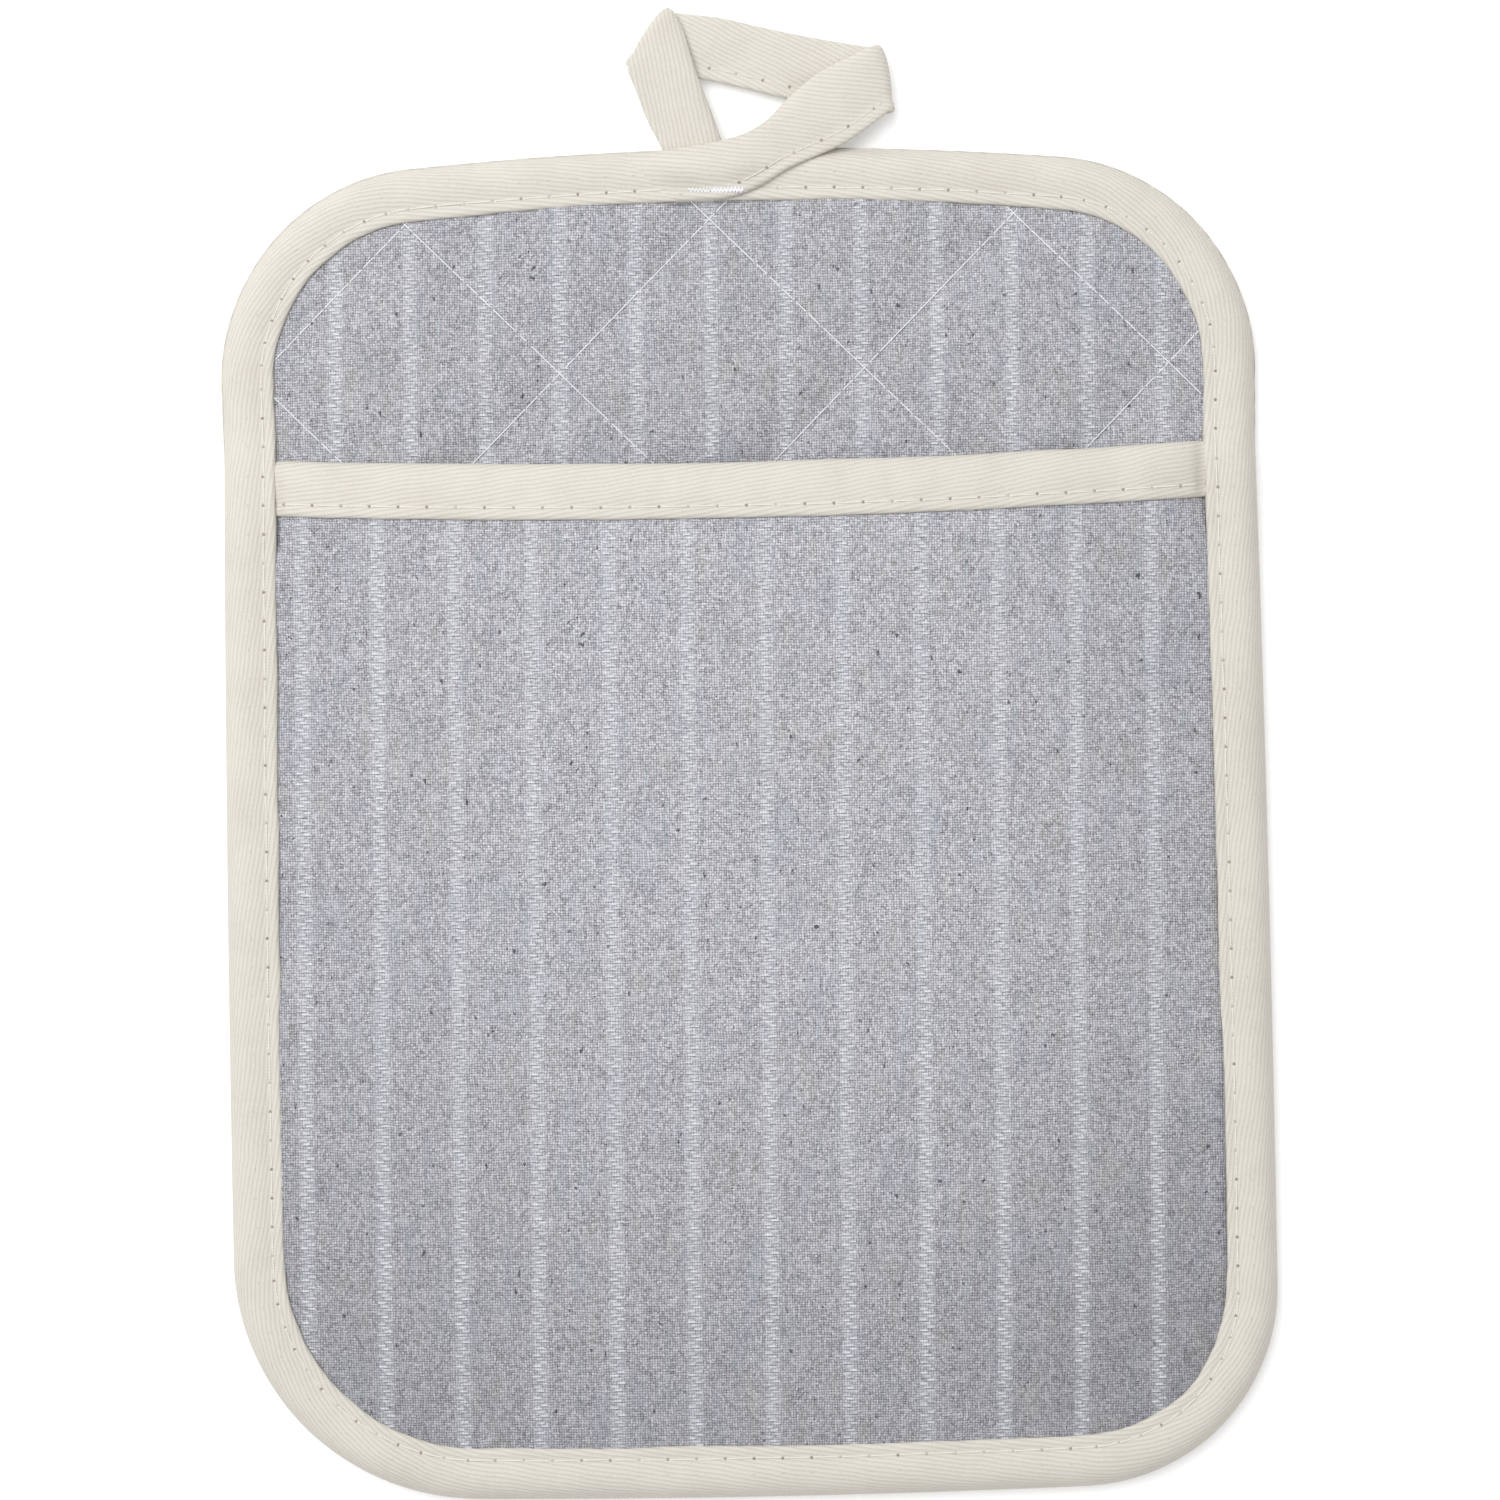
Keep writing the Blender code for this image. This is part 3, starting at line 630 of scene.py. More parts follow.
def make_wadding_material():
    """Off-white polyester and cotton wadding, with matted fibres."""
    s = Shader("wadding_fibre")
    u, v, _ = s.attribute("cloth")
    clump = s.noise(u, v, 1.0, 0.35, 4.0, 0.7)
    fibre = s.noise(s.scaled(u, 0.5), s.scaled(v, 2.2), 2.0, 1.4, 4.0, 0.75)
    base = s.mix(s.scaled(clump, fibre), WADDING_DARK, WADDING_PALE)
    s.bump(s.add(clump, s.scaled(fibre, 0.7)), 0.4, 0.8)
    return s.finish(base, s.range(fibre, 0.2, 0.8, 0.85, 1.0), 0.3, (1, 1, 1, 1), 0.1)


# Colours, as albedo, and how pale the grey cloth is on the whole
GREY_LEVEL = 0.545
GREY_PALE = linear(236, 235, 242)
GREY_DARK = linear(76, 76, 80)
GREY_BLUE = linear(166, 179, 190)
GREY_BROWN = linear(186, 180, 175)
GREY_SLUB = linear(50, 52, 60)
# Colour of the painted shade
GREY_PAINTED_SHADE = linear(70, 70, 74)
STRIPE_PALE = linear(238, 240, 244)
STRIPE_BLUE = linear(218, 223, 232)
CREAM_PALE = linear(213.5, 209.5, 200.5)
# Dark end of the tape's random tone, and its painted groove shade
CREAM_TONE_AND_GROOVE_SHADE = linear(183, 176.5, 163)
# Colour of the painted shade in needle holes
HOLE_PAINTED_SHADE = linear(126, 112, 92)
LINING_PALE = linear(206, 204, 202)
LINING_DARK = linear(160, 158, 156)
WADDING_PALE = linear(235, 232, 225)
WADDING_DARK = linear(196, 190, 180)

grey_cloth = make_grey_cloth()
cream_tape = make_twill()
lining_cloth = make_lining()
tape_thread = make_thread("tape_thread", linear(230, 227, 219), linear(212, 207, 198))
quilt_thread = make_thread("quilt_thread", linear(242, 243, 246), linear(208, 211, 217))
wadding_fibre = make_wadding_material()


# ---- quilted pad

def inflate(name, x, y, z, quads, pinned, pressure, slack, stiffness):
    """Puffs a sheet between its pinned points with Blender's cloth simulation, at ten times the size."""
    big = 10 * MM
    mesh = bpy.data.meshes.new(name)
    mesh.from_pydata((np.stack([x, y, z], axis=1) * big).tolist(), [], quads.tolist())
    sheet = show(bpy.data.objects.new(name, mesh))
    held = sheet.vertex_groups.new(name="held")
    held.add(np.nonzero(pinned)[0].tolist(), 1.0, "REPLACE")
    settings = sheet.modifiers.new("cloth", "CLOTH").settings
    set_all(settings, quality=6, mass=0.15, bending_stiffness=0.3, shear_stiffness=stiffness * 0.4,
            tension_stiffness=stiffness, compression_stiffness=stiffness, tension_damping=8,
            compression_damping=8, shear_damping=8, air_damping=4, vertex_group_mass="held",
            use_pressure=True, uniform_pressure_force=pressure, shrink_min=-slack)
    settings.effector_weights.gravity = 0
    for step in range(1, 21):
        scene.frame_set(step)
    shown = sheet.evaluated_get(bpy.context.evaluated_depsgraph_get())
    flat = np.zeros(len(mesh.vertices) * 3)
    shown.data.vertices.foreach_get("co", flat)
    bpy.data.objects.remove(sheet)
    bpy.data.meshes.remove(mesh)
    scene.frame_set(1)
    return flat.reshape(-1, 3) / big


def quilt_distance(x, y):
    """Distance to the nearest line of quilting."""
    gaps = []
    for sign in (1, -1):
        level = ((x - QUILT_CROSSING[0]) + sign * (y - QUILT_CROSSING[1])) / math.sqrt(2)
        gaps.append(np.abs(level - QUILT_SPACING * np.round(level / QUILT_SPACING)))
    return np.minimum(*gaps)


def make_puff():
    """The grid of the pad's cloths, and how far the wadding pushes each point out from the rim's level."""
    first_x = QUILT_CROSSING[0] - PAD_GRID * math.ceil((QUILT_CROSSING[0] + PAD_REACH_X) / PAD_GRID)
    first_y = QUILT_CROSSING[1] - PAD_GRID * math.ceil((QUILT_CROSSING[1] + PAD_REACH_Y) / PAD_GRID)
    x_values = np.arange(first_x, PAD_REACH_X, PAD_GRID)
    y_values = np.arange(first_y, PAD_REACH_Y, PAD_GRID)
    x, y, quads = make_grid(x_values, y_values, lambda px, py: depth(px, py) > 2.6)
    inside = depth(x, y)
    seam = quilt_distance(x, y)
    lift = 1.15 * smooth((inside - 8.0) / 22.0)
    start = lift + 0.25 * smooth(seam / 12) * smooth((inside - 9.0) / 10.0)
    pinned = (seam < 0.05) | (inside < 8.2)
    moved = inflate("puff", x, y, start, quads, pinned, 1.6, 0.014, 12)
    return (x, y, quads), np.clip(moved[:, 2], 0, PUFF + 0.6)


pad_grid, puff = make_puff()
FRONT_TOP = FRONT_RIM + puff
BACK_LOW = np.maximum(BACK_LOWEST, BACK_RIM - puff * 0.62)


def make_cloth(name, grid, low, high, material, pattern, painted_shade=0.0):
    """A sheet with its cloth's own coordinates, stripes a whole pitch apart, and how much painted shade
    darkens it.
    """
    piece = make_slab(name, *grid, low, high, material)
    x, y = points_of(piece)[:, :2].T
    pitch, at_x, at_y = pattern
    u = (x - at_x) * math.cos(STRIPE_LEAN) - (y - at_y) * math.sin(STRIPE_LEAN)
    v = (x - at_x) * math.sin(STRIPE_LEAN) + (y - at_y) * math.cos(STRIPE_LEAN)
    painted_shade_amount = painted_shade(x, y) if callable(painted_shade) else np.full(len(x), painted_shade)
    set_vectors(piece, "cloth", np.stack([u * STRIPE_PITCH / pitch, v, painted_shade_amount], axis=1))
    return piece


def pocket_painted_shade(x, y):
    """How much painted shade darkens the pocket towards its foot, its lower right and its sides."""
    low = 0.20 * smooth((-5 - y) / 100)
    corner = 0.07 * smooth((x - 5) / 65) * smooth((-25 - y) / 65)
    return 0.02 + low + corner + 0.09 * smooth((np.abs(x) - 25) / 50)


# Painted shade: even on the front and back cloths, and on the pocket deepening towards its foot, lower
# right and sides
front_cloth = make_cloth("front_cloth", pad_grid, FRONT_TOP - CLOTH, FRONT_TOP, grey_cloth,
                         FRONT_STRIPES, 0.12)
back_cloth = make_cloth("back_cloth", pad_grid, BACK_LOW, BACK_LOW + CLOTH, grey_cloth, BACK_STRIPES, 0.05)
wadding_core = make_cloth("wadding_core", pad_grid, BACK_LOW + CLOTH + WADDING_GAP,
                          FRONT_TOP - CLOTH - WADDING_GAP, wadding_fibre, BACK_STRIPES)
front_tree = make_tree([front_cloth])


# ---- pocket

def mouth_line(x):
    """How high up the pad the pocket's mouth is, across its width."""
    return MOUTH_Y - MOUTH_SAG * (1 - (x / MOUTH_HALF) ** 2) + MOUTH_TILT * x


def mouth_arch(x):
    """How far the pocket's mouth stands open, across its width."""
    return POCKET_ARCH * np.clip(1 - (x / MOUTH_HALF) ** 2, 0, 1) ** 1.3


def make_pocket_shape():
    """The pocket's grid and the height of its outer face."""
    x_values = np.arange(-POCKET_REACH, POCKET_REACH + 0.01, POCKET_GRID)
    y_values = np.arange(MOUTH_Y - 0.9 - POCKET_ROWS * POCKET_GRID, MOUTH_Y - 0.85, POCKET_GRID)
    x, y, quads = make_grid(x_values, y_values, lambda px, py: depth(px, py) > 6.4)
    below = y.max() - y
    y = y - (MOUTH_Y - mouth_line(x)) * smooth(1 - below / 40.0)
    inside = depth(x, y)
    rise = POCKET_CROWN * smooth((inside - 8.6) / 26.0)
    arch = mouth_arch(x) * smooth(1 - below / 95.0)
    z = POCKET_RIM + rise * (1 - 0.45 * smooth(1 - below / 60.0)) + arch
    edge = smooth((inside - 9.0) / 14.0)
    pinned = (inside < 8.8) | (below < 1.0)
    moved = inflate("pocket", x, y, z, quads, pinned, 0.5, 0.004, 14)
    z = np.clip(moved[:, 2], z - 1.2, z + 1.4)
    z = z + 0.16 * field(x, y, 26.0, 4) * edge + 0.05 * field(x, y, 9.0, 5) * edge
    floor = heights(front_tree, x, y, missed=FRONT_RIM)
    clear = CLOTH * 2 + LAYER_GAP + LINING_GAP
    near = smooth((inside - 5.0) / 6.0)
    z = np.maximum(z, floor + clear * near + 0.5 * (1 - near))
    under_rim = smooth((11.3 - inside) / 2.0) * smooth((y - MOUTH_Y + 18.0) / 5.0)
    z = z - under_rim * np.maximum(z - PRESSED_LEVEL, 0)
    return (x, y, quads), z


pocket_grid, pocket_z = make_pocket_shape()
LINING_TOP = pocket_z - CLOTH - LINING_GAP
pocket_cloth = make_cloth("pocket_cloth", pocket_grid, pocket_z - CLOTH, pocket_z, grey_cloth,
                          POCKET_STRIPES, pocket_painted_shade)
pocket_lining_cloth = make_cloth("pocket_lining_cloth", pocket_grid, LINING_TOP - CLOTH, LINING_TOP,
                                 lining_cloth, POCKET_STRIPES)
pocket_tree = make_tree([pocket_cloth])


def make_tape(name, points, inward, along, counts, away, turned=1, caps=True):
    """A folded tape from its sections, each point marked with its place on the tape and by its stitches."""
    steps = np.hypot(np.diff(inward, axis=1), np.diff(points[:, :, 2], axis=1))
    across = np.pad(np.cumsum(steps, axis=1), ((0, 0), (1, 0))) * turned
    piece = make_sweep(name, points, cream_tape, caps)
    for attribute, first, second in (("tape", along, across), ("holes", counts, away)):
        pair = np.broadcast_arrays(first[:, None], second, across)[:2]
        set_vectors(piece, attribute, np.stack(pair, axis=2).reshape(-1, 2))
    return piece


def make_pocket_tape():
    """The binding folded over the pocket's mouth."""
    stations = np.arange(-80.2, 80.21, 0.8)
    x = stations[depth(stations, mouth_line(stations) - MOUTH_FACE / 2) > 6.6]
    wave_low = 0.10 * ripple(x, 9.0, 3)
    wave_top = 0.12 * ripple(x, 14.0, 4)
    stitch = MOUTH_FACE - STITCH_INSET
    # Each point of the section: how far down from the mouth's fold, and how high above the pocket's cloth
    face = [(MOUTH_FACE, 0.02), (MOUTH_FACE + 0.05, 0.35), (MOUTH_FACE - 0.2, 0.66),
            (MOUTH_FACE - 0.7, 0.80), (MOUTH_FACE - 1.35, 0.80), (stitch, 0.62), (stitch - 0.65, 0.80),
            (stitch - 1.8, 0.94), (stitch - 3.4, 1.02), (stitch - 4.8, 1.02), (1.5, 0.90),
            (0.75, 0.62), (0.2, 0.10), (0.0, -0.42)]
    lining = CLOTH * 2 + LINING_GAP
    back = [(0.2, -0.95), (0.75, -1.45), (1.6, -1.62), (4.0, -1.62), (7.4, -1.55),
            (MOUTH_FACE - 0.3, -1.52), (MOUTH_FACE, -1.25), (MOUTH_FACE - 0.3, -lining - 0.05),
            (4.0, -lining - 0.08), (1.7, -lining - 0.02), (1.05, -0.5), (1.7, 0.03), (4.0, 0.05),
            (MOUTH_FACE - 0.5, 0.03)]
    profile = face + back
    top_y = mouth_line(x)
    drops = np.array([drop for drop, _ in profile])
    share = drops / MOUTH_FACE
    y = top_y[:, None] - drops + wave_low[:, None] * share + wave_top[:, None] * (1 - share)
    levels = {drop: heights(pocket_tree, x, top_y - max(drop, 1.3), missed=POCKET_RIM)
              for drop in sorted({drop for drop, _ in face} | {MOUTH_FACE - 0.4})}
    z = np.stack([levels[min(levels, key=lambda near: abs(near - drop))] + lift
                  for drop, lift in profile], axis=1)
    points = np.stack([np.broadcast_to(x[:, None], y.shape), y, z], axis=2)
    away = np.array([drop - stitch for drop, _ in face] + [NO_HOLE] * len(back))
    return make_tape("pocket_tape", points, y, x, x / STITCH_PITCH + MOUTH_STITCH_START, away, turned=-1)


pocket_tape = make_pocket_tape()
pocket_tape_tree = make_tree([pocket_tape])


# ---- binding round the rim

def rim_level(x, y):
    """Height of what the binding's inner edge lies on."""
    pocket = smooth((MOUTH_Y + 6.0 - y) / 12.0)
    over_tape = pocket * smooth((y - (MOUTH_Y - MOUTH_FACE - 10.0)) / 12.0)
    return 4.1 + 0.95 * pocket + 0.45 * over_tape


EDGE_POINTS, EDGE_ALONG = evenly(edge_line(), 0.8)
EDGE_LENGTH = EDGE_ALONG[-1]
EDGE_AHEAD = directions(EDGE_POINTS)
EDGE_INWARD = np.stack([EDGE_AHEAD[:, 1], -EDGE_AHEAD[:, 0]], axis=1)
STITCH_COUNT = round(EDGE_LENGTH / STITCH_PITCH)


def make_rim_tape():
    """The tape folded round the pad's edge: a soft roll with a stitched inner margin on both faces."""
    stitch = BINDING_FACE - STITCH_INSET
    edge = BINDING_FACE
    # Each point of the section: how far in from the edge, and how high above what the binding lies on
    front = [(edge, 0.05), (edge + 0.06, 0.40), (edge - 0.14, 0.72), (edge - 0.6, 0.90),
             (edge - 1.25, 0.90), (stitch, 0.66), (stitch - 0.65, 0.90), (stitch - 1.5, 1.08),
             (4.7, 1.18), (3.7, 1.16), (2.8, 0.98), (1.9, 0.56), (1.15, -0.14), (0.58, -1.0),
             (0.18, -1.85)]
    # The back of it, with heights above the table
    under = [(0.0, 2.4), (0.15, 1.65), (0.6, 0.95), (1.3, 0.42), (2.4, 0.10), (4.0, 0.0), (6.6, 0.02),
             (stitch, 0.12), (8.4, 0.03), (9.1, 0.05), (9.45, 0.3), (9.35, 0.85), (8.4, 0.90),
             (4.0, 0.92), (1.9, 1.15), (1.05, 1.9), (0.95, 2.7)]
    inner = [(1.35, -1.2), (2.4, -0.2), (4.2, 0.06), (9.2, 0.0)]
    inset, lift = np.array(front + under + inner).T
    order = np.arange(len(inset))
    in_front = order < len(front)
    behind = ~in_front & (order < len(front) + len(under))
    level = rim_level(EDGE_POINTS[:, 0], EDGE_POINTS[:, 1])
    wave = 0.16 * ripple(EDGE_ALONG, 11.0, 1) + 0.08 * ripple(EDGE_ALONG, 4.0, 2)
    swell = 0.12 * ripple(EDGE_ALONG, 17.0, 6)
    fade = smooth(EDGE_ALONG / 12.0) * smooth((EDGE_LENGTH - EDGE_ALONG) / 12.0)
    wave, swell = wave * fade, swell * fade
    puckers = 0.5 + 0.5 * np.cos(2 * math.pi * EDGE_ALONG * STITCH_COUNT / EDGE_LENGTH)
    inward = inset + wave[:, None] * (inset / 9.5) ** 2
    z = np.where(behind, lift, level[:, None] + lift)
    soft = in_front & (inset > 3.0) & (inset < 9.4)
    dent = 0.05 * np.exp(-((inset - stitch) / 1.2) ** 2)
    z += soft * (swell[:, None] - puckers[:, None] * dent)
    flat = EDGE_POINTS[:, None] + EDGE_INWARD[:, None] * inward[:, :, None]
    sewn = (np.abs(inset - stitch) < 3) & (in_front | (behind & (lift < 0.5)))
    return make_tape("rim_tape", np.dstack([flat, z]), inward, EDGE_ALONG,
                     EDGE_ALONG / EDGE_LENGTH * STITCH_COUNT, np.where(sewn, inset - stitch, NO_HOLE),
                     caps=False)


rim_tape = make_rim_tape()
rim_tree = make_tree([rim_tape])


# ---- hanging loop

def spline(points, count):
    """A smooth line through points, evenly divided by their own distances."""
    points = np.asarray(points, float)
    knots = distances(points)
    slopes = np.zeros_like(points)
    for i in range(len(points)):
        a, b = max(0, i - 1), min(len(points) - 1, i + 1)
        slopes[i] = (points[b] - points[a]) / (knots[b] - knots[a])
    out = []
    for t in np.linspace(0, knots[-1], count):
        i = min(len(points) - 2, int(np.searchsorted(knots, t, side="right")) - 1)
        h = knots[i + 1] - knots[i]
        q = (t - knots[i]) / h
        out.append((2 * q**3 - 3 * q**2 + 1) * points[i] + (q**3 - 2 * q**2 + q) * h * slopes[i]
                   + (3 * q**2 - 2 * q**3) * points[i + 1] + (q**3 - q**2) * h * slopes[i + 1])
    return np.array(out)


# Edges of the loop's three strands, in millimetres: the sewn edge and the folded edge, each (x, y, z)
FRONT_SEWN = [(-15.0, 107.7, 4.6), (-8.0, 107.7, 4.8), (-0.6, 108.4, 5.0), (4.5, 110.3, 5.1),
              (9.4, 113.1, 5.1), (14.5, 115.4, 5.0), (18.6, 117.2, 4.8), (22.8, 119.9, 4.6),
              (26.3, 122.5, 4.3)]
FRONT_FOLD = [(-25.0, 115.6, 3.6), (-14.2, 116.6, 4.1), (-6.1, 117.6, 4.6), (1.0, 119.0, 4.9),
              (5.6, 121.4, 5.0), (9.6, 125.4, 5.0), (15.0, 129.6, 4.9), (20.2, 132.1, 4.7),
              (23.9, 133.9, 4.4)]
CROSS_SEWN = [(26.3, 122.5, 2.6), (18.0, 123.3, 2.3), (9.8, 125.3, 2.0), (2.0, 127.4, 1.9),
              (-5.7, 129.3, 1.8), (-17.8, 131.5, 2.6)]
CROSS_FOLD = [(23.9, 133.9, 2.4), (16.0, 135.4, 2.0), (7.3, 137.3, 1.8), (-2.0, 139.6, 1.7),
              (-9.8, 140.6, 1.7)]
SIDE_SEWN = [(-17.8, 131.5, 3.0), (-17.8, 130.5, 3.2), (-16.9, 128.4, 3.4), (-14.5, 121.8, 3.4),
             (-12.4, 117.7, 3.3), (-10.8, 113.0, 3.2)]
SIDE_FOLD = [(-9.8, 140.6, 3.6), (-8.3, 137.6, 3.6), (-5.9, 129.6, 3.4), (-3.6, 123.2, 3.2),
             (-2.2, 118.9, 3.2), (-0.6, 114.0, 3.1)]
# Directions of each strand's twill, as the angle of the tape's own length
FRONT_GRAIN = math.radians(2)
CROSS_GRAIN = math.radians(-19)
SIDE_GRAIN = math.radians(-71)
LOOP_STITCH = 2.1
FOLD_STEPS = 9
# Half thickness of the sewn strip, from its stitched edge (share 0) to its folded edge (share 1)
STRIP = [(0.0, 0.12), (0.012, 0.40), (0.045, 0.55), (0.11, 0.56), (0.19, 0.42), (0.27, 0.60),
         (0.38, 0.80), (0.52, 0.95), (0.66, 1.02), (0.79, 1.00), (0.89, 0.86), (0.955, 0.62),
         (0.99, 0.32), (1.0, 0.10)]
ROOT_X = -16.0
ROOT_RUN = 10.0


def strip_ring(sewn, fold, out, grain, run, sewn_line):
    """One ring round the strip: its outer face from the sewn edge to the fold, then its inner face back."""
    points, marks, holes = [], [], []
    width = float(np.linalg.norm(fold[:2] - sewn[:2]))
    for side in (1, -1):
        for share, half in STRIP[::side]:
            point = sewn + (fold - sewn) * share + out * half * side
            points.append(point)
            marks.append((point[0] * math.cos(grain) + point[1] * math.sin(grain),
                          point[1] * math.cos(grain) - point[0] * math.sin(grain)))
            holes.append((run / STITCH_PITCH, share * width - LOOP_STITCH if sewn_line else NO_HOLE))
    return points, marks, holes


def strand_rings(sewn, fold, count, facing, grain, sewn_line):
    """Rings of points along one strand of the loop, with their tape and needle-hole coordinates."""
    edge_a, edge_b = spline(sewn, count), spline(fold, count)
    out = np.array([0.0, 0.0, facing])
    runs = np.linalg.norm(edge_a[:, :2] - edge_a[0, :2], axis=1)
    return [strip_ring(edge_a[i], edge_b[i], out, grain, runs[i], sewn_line) for i in range(count)]


def fold_rings(sewn_a, fold_a, sewn_b, fold_b, outward, grain_a, grain_b, start_up):
    """Rings round a fold, from one strand's end line to the next strand's first line."""
    ring_list = []
    for step in range(1, FOLD_STEPS):
        turn = math.pi * step / FOLD_STEPS
        lines = []
        for a, b in ((sewn_a, sewn_b), (fold_a, fold_b)):
            radius = abs(a[2] - b[2]) / 2
            middle = (np.array(a) + np.array(b)) / 2
            point = middle + outward * radius * math.sin(turn)
            point[2] = middle[2] + (a[2] - b[2]) / 2 * math.cos(turn)
            lines.append(point)
        out = outward * math.sin(turn) + np.array([0, 0, start_up * math.cos(turn)])
        grain = grain_a if step < FOLD_STEPS / 2 else grain_b
        ring_list.append(strip_ring(lines[0], lines[1], out, grain, 0.0, False))
    return ring_list


def make_loop_tape():
    """The sewn strip: on from the binding, up and right, folded back left, folded down behind itself."""
    right, left = unit(np.array([(11.2, 2.3, 0.0), (-9.8, 7.8, 0.0)]))
    rings = strand_rings(FRONT_SEWN, FRONT_FOLD, 64, 1, FRONT_GRAIN, True)
    front_count = len(rings)
    rings += fold_rings(FRONT_SEWN[-1], FRONT_FOLD[-1], CROSS_SEWN[0], CROSS_FOLD[0], right,
                        FRONT_GRAIN, CROSS_GRAIN, 1)
    rings += strand_rings(CROSS_SEWN, CROSS_FOLD, 54, -1, CROSS_GRAIN, True)
    rings += fold_rings(CROSS_SEWN[-1], CROSS_FOLD[-1], SIDE_SEWN[0], SIDE_FOLD[0], left,
                        CROSS_GRAIN, SIDE_GRAIN, -1)
    rings += strand_rings(SIDE_SEWN, SIDE_FOLD, 34, 1, SIDE_GRAIN, False)
    sections = [np.array(r[0]) for r in rings]
    halves = np.array([half for _, half in STRIP + STRIP[::-1]])
    signs = np.array([1] * len(STRIP) + [-1] * len(STRIP))
    # The root lies flat on the binding, and the front strand rises from it
    for ring in sections[:front_count]:
        rim = heights(rim_tree, ring[:, 0], ring[:, 1], missed=-50)
        middle = ring[:, 2] - signs * halves
        risen = smooth((ring[:, 0].mean() - ROOT_X) / ROOT_RUN)
        resting = rim + halves * (2 * risen - 1) - 0.08 + 0.10 * risen
        settled = np.maximum(middle * risen + resting * (1 - risen), resting)
        ring[:, 2] = np.where(rim > -40, settled, middle) + signs * halves
    for ring in sections:
        ring[:, 2] += 0.10 * field(ring[:, 0], ring[:, 1], 7.0, 9)
    piece = make_sweep("loop_tape", sections, cream_tape)
    set_vectors(piece, "tape", [m for r in rings for m in r[1]])
    set_vectors(piece, "holes", [h for r in rings for h in r[2]])
    return piece


loop_tape = make_loop_tape()
loop_tree = make_tree([loop_tape, rim_tape])


# ---- threads

def stitched(x, y, counts, tree, radius, above=True, pitch=STITCH_PITCH, proud=0.45):
    """A line of stitches lying on a surface and dipping in at each needle hole."""
    surface = heights(tree, x, y, above=above, missed=np.nan)
    kept = ~np.isnan(surface)
    step = (counts - np.floor(counts) - 0.5) * pitch
    lift = radius * proud - radius * 2.6 * np.exp(-(step / 0.34) ** 2)
    z = surface + lift * (1 if above else -1)
    return np.stack([x, y, z], axis=1)[kept]


def rim_stitch_line(above):
    """The seam through the binding: in front from right of the loop to the bar tack, behind all round."""
    inset = BINDING_FACE - STITCH_INSET
    first, last = (6.9, 8.6) if above else (0.5, 0.5)
    along = np.arange(first, EDGE_LENGTH - last, 0.25)
    base = np.stack([np.interp(along, EDGE_ALONG, EDGE_POINTS[:, k]) for k in (0, 1)], axis=1)
    inward = np.stack([np.interp(along, EDGE_ALONG, EDGE_INWARD[:, k]) for k in (0, 1)], axis=1)
    wander = 0.08 * ripple(along, 8.0, 12)
    line = base + inward * (inset + wander[:, None])
    counts = along / EDGE_LENGTH * STITCH_COUNT
    return stitched(line[:, 0], line[:, 1], counts, rim_tree, TAPE_THREAD, above)


def mouth_stitch_line():
    """The seam through the binding of the pocket's mouth."""
    x = np.arange(0.5 - MOUTH_HALF, MOUTH_HALF - 0.49, 0.25)
    y = mouth_line(x) - (MOUTH_FACE - STITCH_INSET) + 0.06 * ripple(x, 9.0, 8)
    return stitched(x, y, x / STITCH_PITCH + MOUTH_STITCH_START, pocket_tape_tree, TAPE_THREAD)


def quilt_lines(tree, above):
    """Every line of quilting across the pad, laid on one of its faces."""
    lines = []
    spacing = 0.35
    for sign in (1, -1):
        for k in range(-8, 9):
            along = np.arange(-180, 180, spacing)
            across = QUILT_SPACING * k / math.sqrt(2)
            x = QUILT_CROSSING[0] + across + along / math.sqrt(2)
            y = QUILT_CROSSING[1] + sign * across - sign * along / math.sqrt(2)
            inside = depth(x, y) > 9.0
            if inside.sum() * spacing < QUILT_SPACING / 2:
                continue
            counts = along[inside] / QUILT_PITCH + 0.31 * k
            lines.append(stitched(x[inside], y[inside], counts, tree, QUILT_THREAD, above,
                                  pitch=QUILT_PITCH, proud=1.1))
    return lines


def loop_stitch_lines():
    """The seam along the loop's strip, where it shows on the front and the crossing strand."""
    lines = []
    for sewn, fold, shown in ((FRONT_SEWN, FRONT_FOLD, slice(80, 197)),
                              (CROSS_SEWN, CROSS_FOLD, slice(84, 140))):
        edge_a, edge_b = spline(sewn, 200), spline(fold, 200)
        width = np.linalg.norm(edge_b[:, :2] - edge_a[:, :2], axis=1)[:, None]
        line = (edge_a + (edge_b - edge_a) * LOOP_STITCH / width)[:, :2]
        run = np.linalg.norm(edge_a[:, :2] - edge_a[0, :2], axis=1)
        lines.append(stitched(line[shown, 0], line[shown, 1], run[shown] / STITCH_PITCH, loop_tree,
                              LOOP_THREAD))
    return lines


def bartack_lines():
    """Dense zigzag that fastens the loop's root, in two layers of thread."""
    pitch = 0.60
    x = np.arange(-7.8, 1.5, 0.05)
    right = smooth((x + 4.5) / 5.0)
    swing = (0.36 + 0.30 * right) * (2 / math.pi) * np.arcsin(np.sin(2 * math.pi * x / pitch))
    y = 109.75 - 0.02 * (x + 7.8) + swing + 0.08 * ripple(x, 0.7, 5)
    z = heights(loop_tree, x, y, missed=5.0) + 0.02 + 0.10 * right + 0.04 * np.cos(4 * math.pi * x / pitch)
    upper = np.stack([x + 0.16, y - 0.10 - 0.6 * swing, z + 0.07], axis=1)
    return [np.stack([x, y, z], axis=1), upper[x > -4.2]]


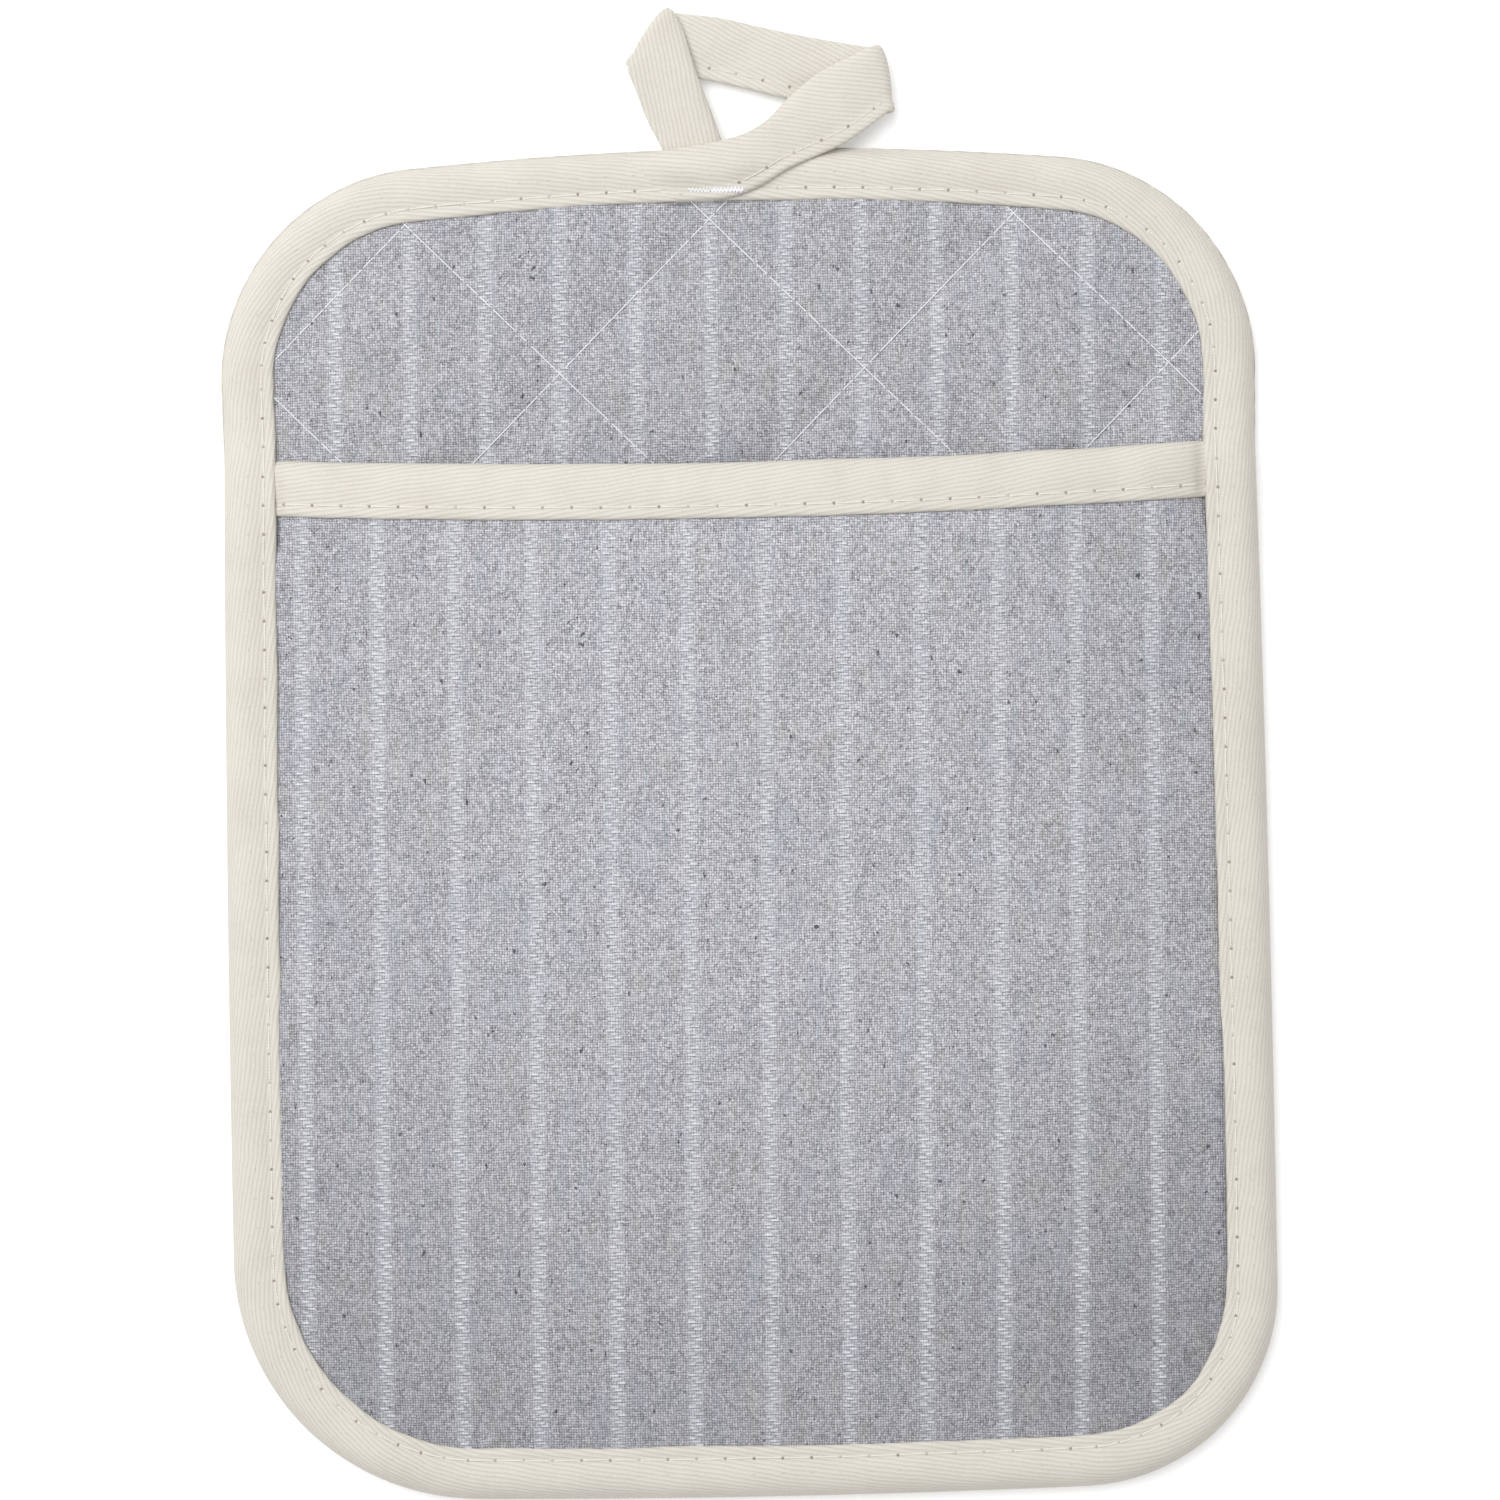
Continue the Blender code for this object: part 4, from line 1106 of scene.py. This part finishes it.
rim_stitches = make_threads("rim_stitches", [rim_stitch_line(True), rim_stitch_line(False)],
                            TAPE_THREAD, tape_thread)
pocket_stitches = make_threads("pocket_stitches", [mouth_stitch_line()], TAPE_THREAD, tape_thread)
quilt_seams = quilt_lines(front_tree, True) + quilt_lines(make_tree([back_cloth]), False)
quilt_stitches = make_threads("quilt_stitches", quilt_seams, QUILT_THREAD, quilt_thread, sides=5)
loop_stitches = make_threads("loop_stitches", loop_stitch_lines(), LOOP_THREAD, tape_thread)
bartack_stitches = make_threads("bartack_stitches", bartack_lines(), BARTACK_THREAD, quilt_thread)


# ---- what each piece stands for; the pad's pieces ride on the pad

# For each piece: its slot, and the nodes of the CAD model it stands for
PAD_RIDERS = {
    front_cloth: ("grey_cloth", ["front_panel"]),
    back_cloth: ("grey_cloth", ["back_panel"]),
    wadding_core: ("wadding", ["wadding"]),
    rim_tape: ("cream_tape", ["edge_binding"]),
    rim_stitches: ("white_thread", ["edge_topstitch"]),
    quilt_stitches: ("white_thread", ["quilting_thread"]),
    bartack_stitches: ("white_thread", ["loop_bartack"]),
}
POCKET_RIDERS = {
    pocket_cloth: ("grey_cloth", ["pocket_panel", "pocket_seam_allowance"]),
    pocket_lining_cloth: ("lining_cloth", ["pocket_lining"]),
    pocket_tape: ("cream_tape", ["pocket_binding"]),
    pocket_stitches: ("white_thread", ["pocket_topstitch"]),
}
LOOP_RIDERS = {
    loop_tape: ("cream_tape", ["hanging_loop", "loop_root"]),
    loop_stitches: ("white_thread", ["loop_topstitch"]),
}


def pocket_weights(points):
    """How far each point of the pocket opens with its mouth: not at all where it is sewn down."""
    x, y = points[:, 0], points[:, 1]
    share = np.clip(1 - (np.abs(x) / MOUTH_HALF) ** 2, 0, 1)
    return share ** 1.15 * smooth(depth(x, y) / 20.0)


for piece, (slot_name, nodes) in {**PAD_RIDERS, **POCKET_RIDERS, **LOOP_RIDERS}.items():
    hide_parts(*nodes)
for piece in PAD_RIDERS:
    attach(piece, "pad")
for piece in POCKET_RIDERS:
    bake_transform(piece)
    weights = pocket_weights(points_of(piece))
for piece in LOOP_RIDERS:
    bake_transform(piece)


# ---- floor, light and camera

def make_floor():
    """A plain pale tabletop."""
    mesh = bpy.data.meshes.new("floor")
    reach = 3.0
    level = CAD_LOW.z - 0.3 * MM
    corners = [(-reach, -reach), (reach, -reach), (reach, reach), (-reach, reach)]
    mesh.from_pydata([(x, y, level) for x, y in corners], [], [(0, 1, 2, 3)])
    material = bpy.data.materials.new("floor")
    material.use_nodes = True
    set_inputs(material.node_tree.nodes["Principled BSDF"], {
        "Base Color": (0.93, 0.93, 0.93, 1), "Roughness": 0.9, "Specular IOR Level": 0.1,
        "Emission Color": (1, 1, 1, 1), "Emission Strength": 0.18})
    mesh.materials.append(material)
    floor = show(bpy.data.objects.new("floor", mesh))


def make_light(name, place, size, power):
    """A large soft lamp aimed at the pad's middle."""
    lamp = bpy.data.lights.new(name, "AREA")
    set_all(lamp, shape="DISK", size=size, energy=power)
    holder = show(bpy.data.objects.new(name, lamp))
    holder.location = place
    holder.rotation_euler = (-Vector(place)).to_track_quat("-Z", "Y").to_euler()


def make_world(strength):
    """Even white studio light from all round."""
    world = bpy.data.worlds.new("studio")
    world.use_nodes = True
    set_inputs(world.node_tree.nodes["Background"], {"Color": (1.0, 1.0, 1.0, 1), "Strength": strength})
    scene.world = world


def make_camera():
    """Straight down at the pad, as in the photograph."""
    lens = bpy.data.cameras.new("camera")
    set_all(lens, lens=LENS, sensor_width=SENSOR, clip_start=0.01)
    camera = show(bpy.data.objects.new("camera", lens))
    away = LENS * VIEW_WIDTH / SENSOR + VIEW_PLANE
    middle = (CAD_LOW + CAD_HIGH) / 2
    camera.location = (middle.x + VIEW_SHIFT[0] * MM, middle.y + VIEW_SHIFT[1] * MM, away * MM)
    camera.rotation_euler = (0, 0, VIEW_TURN)
    scene.camera = camera


make_floor()
make_world(strength=0.60)
make_light("key", place=(-0.36, 0.42, 1.05), size=1.1, power=11.5)
make_camera()
scene.view_settings.view_transform = "Standard"
bpy.context.view_layer.update()
